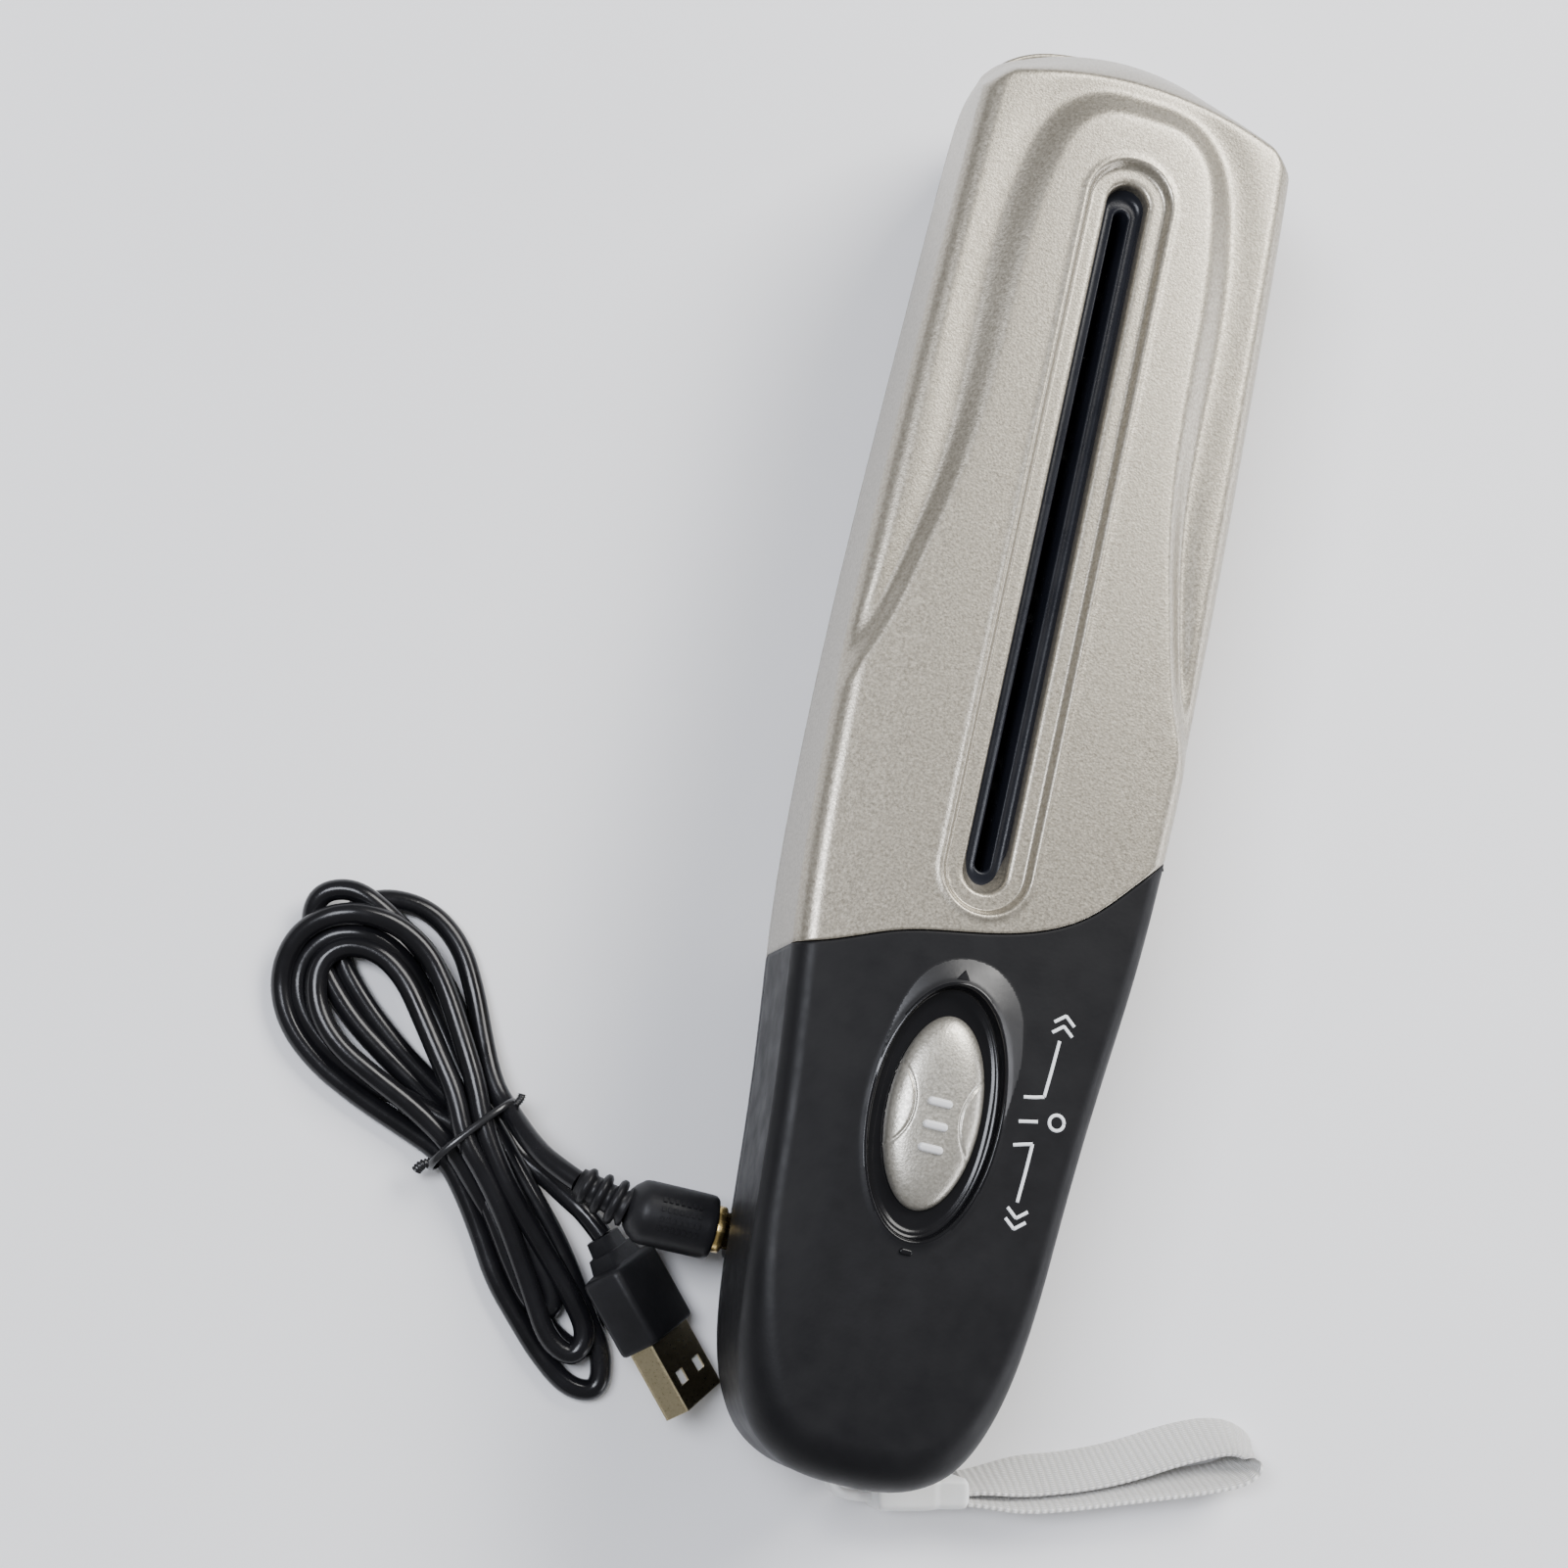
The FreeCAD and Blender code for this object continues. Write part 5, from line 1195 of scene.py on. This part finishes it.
def tie_end(name, start, path, radius):
    """One twisted end of the tie: a short tapering stub."""
    line = resample(spline([start] + path, 40, False), 30)
    rings, count = [], len(line)
    for i in range(count):
        ahead = Vector(line[min(i + 1, count - 1)]) - Vector(line[max(i - 1, 0)])
        ahead.normalize()
        side = ahead.cross(Vector((0.0, 0.0, 1.0))).normalized()
        up = side.cross(ahead)
        size = radius * (1.0 + 0.18 * math.sin(i * 1.4)) * (0.5 if i in (0, count - 1) else 1.0)
        twist = i * 0.35
        rings.append([Vector(line[i]) + (side * math.cos(a + twist)
                                         + up * math.sin(a + twist) * 0.7) * size
                      for a in turn_angles(12)])
    return stacked(name, rings, TIE_BLACK)


left_end = TIE - TIE_ACROSS * 8.2
right_end = TIE + TIE_ACROSS * 8.0
tie_tail = tie_end("cord_tie_tail", (left_end.x + 0.6, left_end.y + 0.4, 5.6),
                   [(left_end.x - 1.0, left_end.y - 0.4, 5.2),
                    (left_end.x - 1.6, left_end.y - 1.4, 4.4)], 0.75)
finish_piece(tie_tail, "housing", "plug_black")
tie_tip = tie_end("cord_tie_tip", (right_end.x - 0.2, right_end.y - 0.2, 7.6),
                  [(right_end.x + 0.4, right_end.y + 0.9, 8.0),
                   (right_end.x + 0.5, right_end.y + 1.8, 8.2)], 0.6)
finish_piece(tie_tip, "housing", "plug_black")


def make_clip():
    """White moulded clip that grips the two ends of the webbing."""
    centre, turn = Vector((19.5, -117.2, 5.1)), math.radians(12.0)
    sections = []
    for share in np.linspace(-1.0, 1.0, 34):
        round_off = math.sqrt(max(0.0, 1.0 - max(0.0, (abs(share) - 0.86) / 0.14) ** 2))
        swell = 1.0 - 0.10 * smooth(-0.2, 1.0, share)
        waist_in = 1.0 - 0.07 * math.exp(-((share - 0.35) / 0.1) ** 2)
        sections.append((share * 7.5, 5.3 * swell * waist_in * (0.72 + 0.28 * round_off),
                         10.1 * (0.92 + 0.08 * round_off) * (1.0 - 0.04 * (share > 0.3))))
    spin = Matrix.Rotation(turn, 3, "Z")
    rings = [[centre + spin @ Vector((along, y, z))
              for y, z in rounded_section(thick, tall, 1.1, 40)]
             for along, thick, tall in sections]
    return stacked("strap_clip", rings, WHITE)


clip = make_clip()
finish_piece(clip, "housing", "ferrule_white", "strap_ferrule")


# ---- CAD finishes

for finish, names in NODES_BY_FINISH:
    for name in names.split():
        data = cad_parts[name].data
        data.materials.clear()
        data.materials.append(finish)


# ---- floor and light

def make_stage():
    size = 3.0
    mesh = bpy.data.meshes.new("floor")
    mesh.from_pydata([(-size, -size, 0), (size, -size, 0), (size, size, 0), (-size, size, 0)],
                     [], [(0, 1, 2, 3)])
    paint = Paint("pale_floor", (0.88, 0.88, 0.89), 0.75)
    paint.tint(paint.noise(30.0, 4.0), (0.87, 0.87, 0.88), (0.90, 0.90, 0.91))
    floor = shown(mesh, paint.material)


def area_light(name, place, aim, size, power, color):
    light = bpy.data.lights.new(name, "AREA")
    light.shape = "RECTANGLE"
    light.size, light.size_y = size
    light.energy = power
    light.color = color
    made = placed(light)
    made.location = place
    made.rotation_euler = (Vector(aim) - Vector(place)).to_track_quat("-Z", "Y").to_euler()


make_stage()
area_light("window_light", (0.52, 0.86, 0.95), (0.0, 0.03, 0.0), (0.75, 0.65), 24.0,
           (1.0, 0.985, 0.96))
area_light("left_sky", (-0.50, 0.02, 1.05), (-0.08, 0.0, 0.0), (0.35, 0.5), 13.0,
           (0.88, 0.91, 1.0))
area_light("right_wall_light", (0.62, -0.05, 0.16), (0.03, -0.02, 0.025), (0.9, 0.22), 3.5,
           (0.93, 0.94, 1.0))
world = bpy.data.worlds.new("studio")
bpy.context.scene.world = world
world.use_nodes = True
sky = world.node_tree.nodes["Background"].inputs
sky["Color"].default_value = (1.0, 1.0, 1.0, 1.0)
sky["Strength"].default_value = 0.26
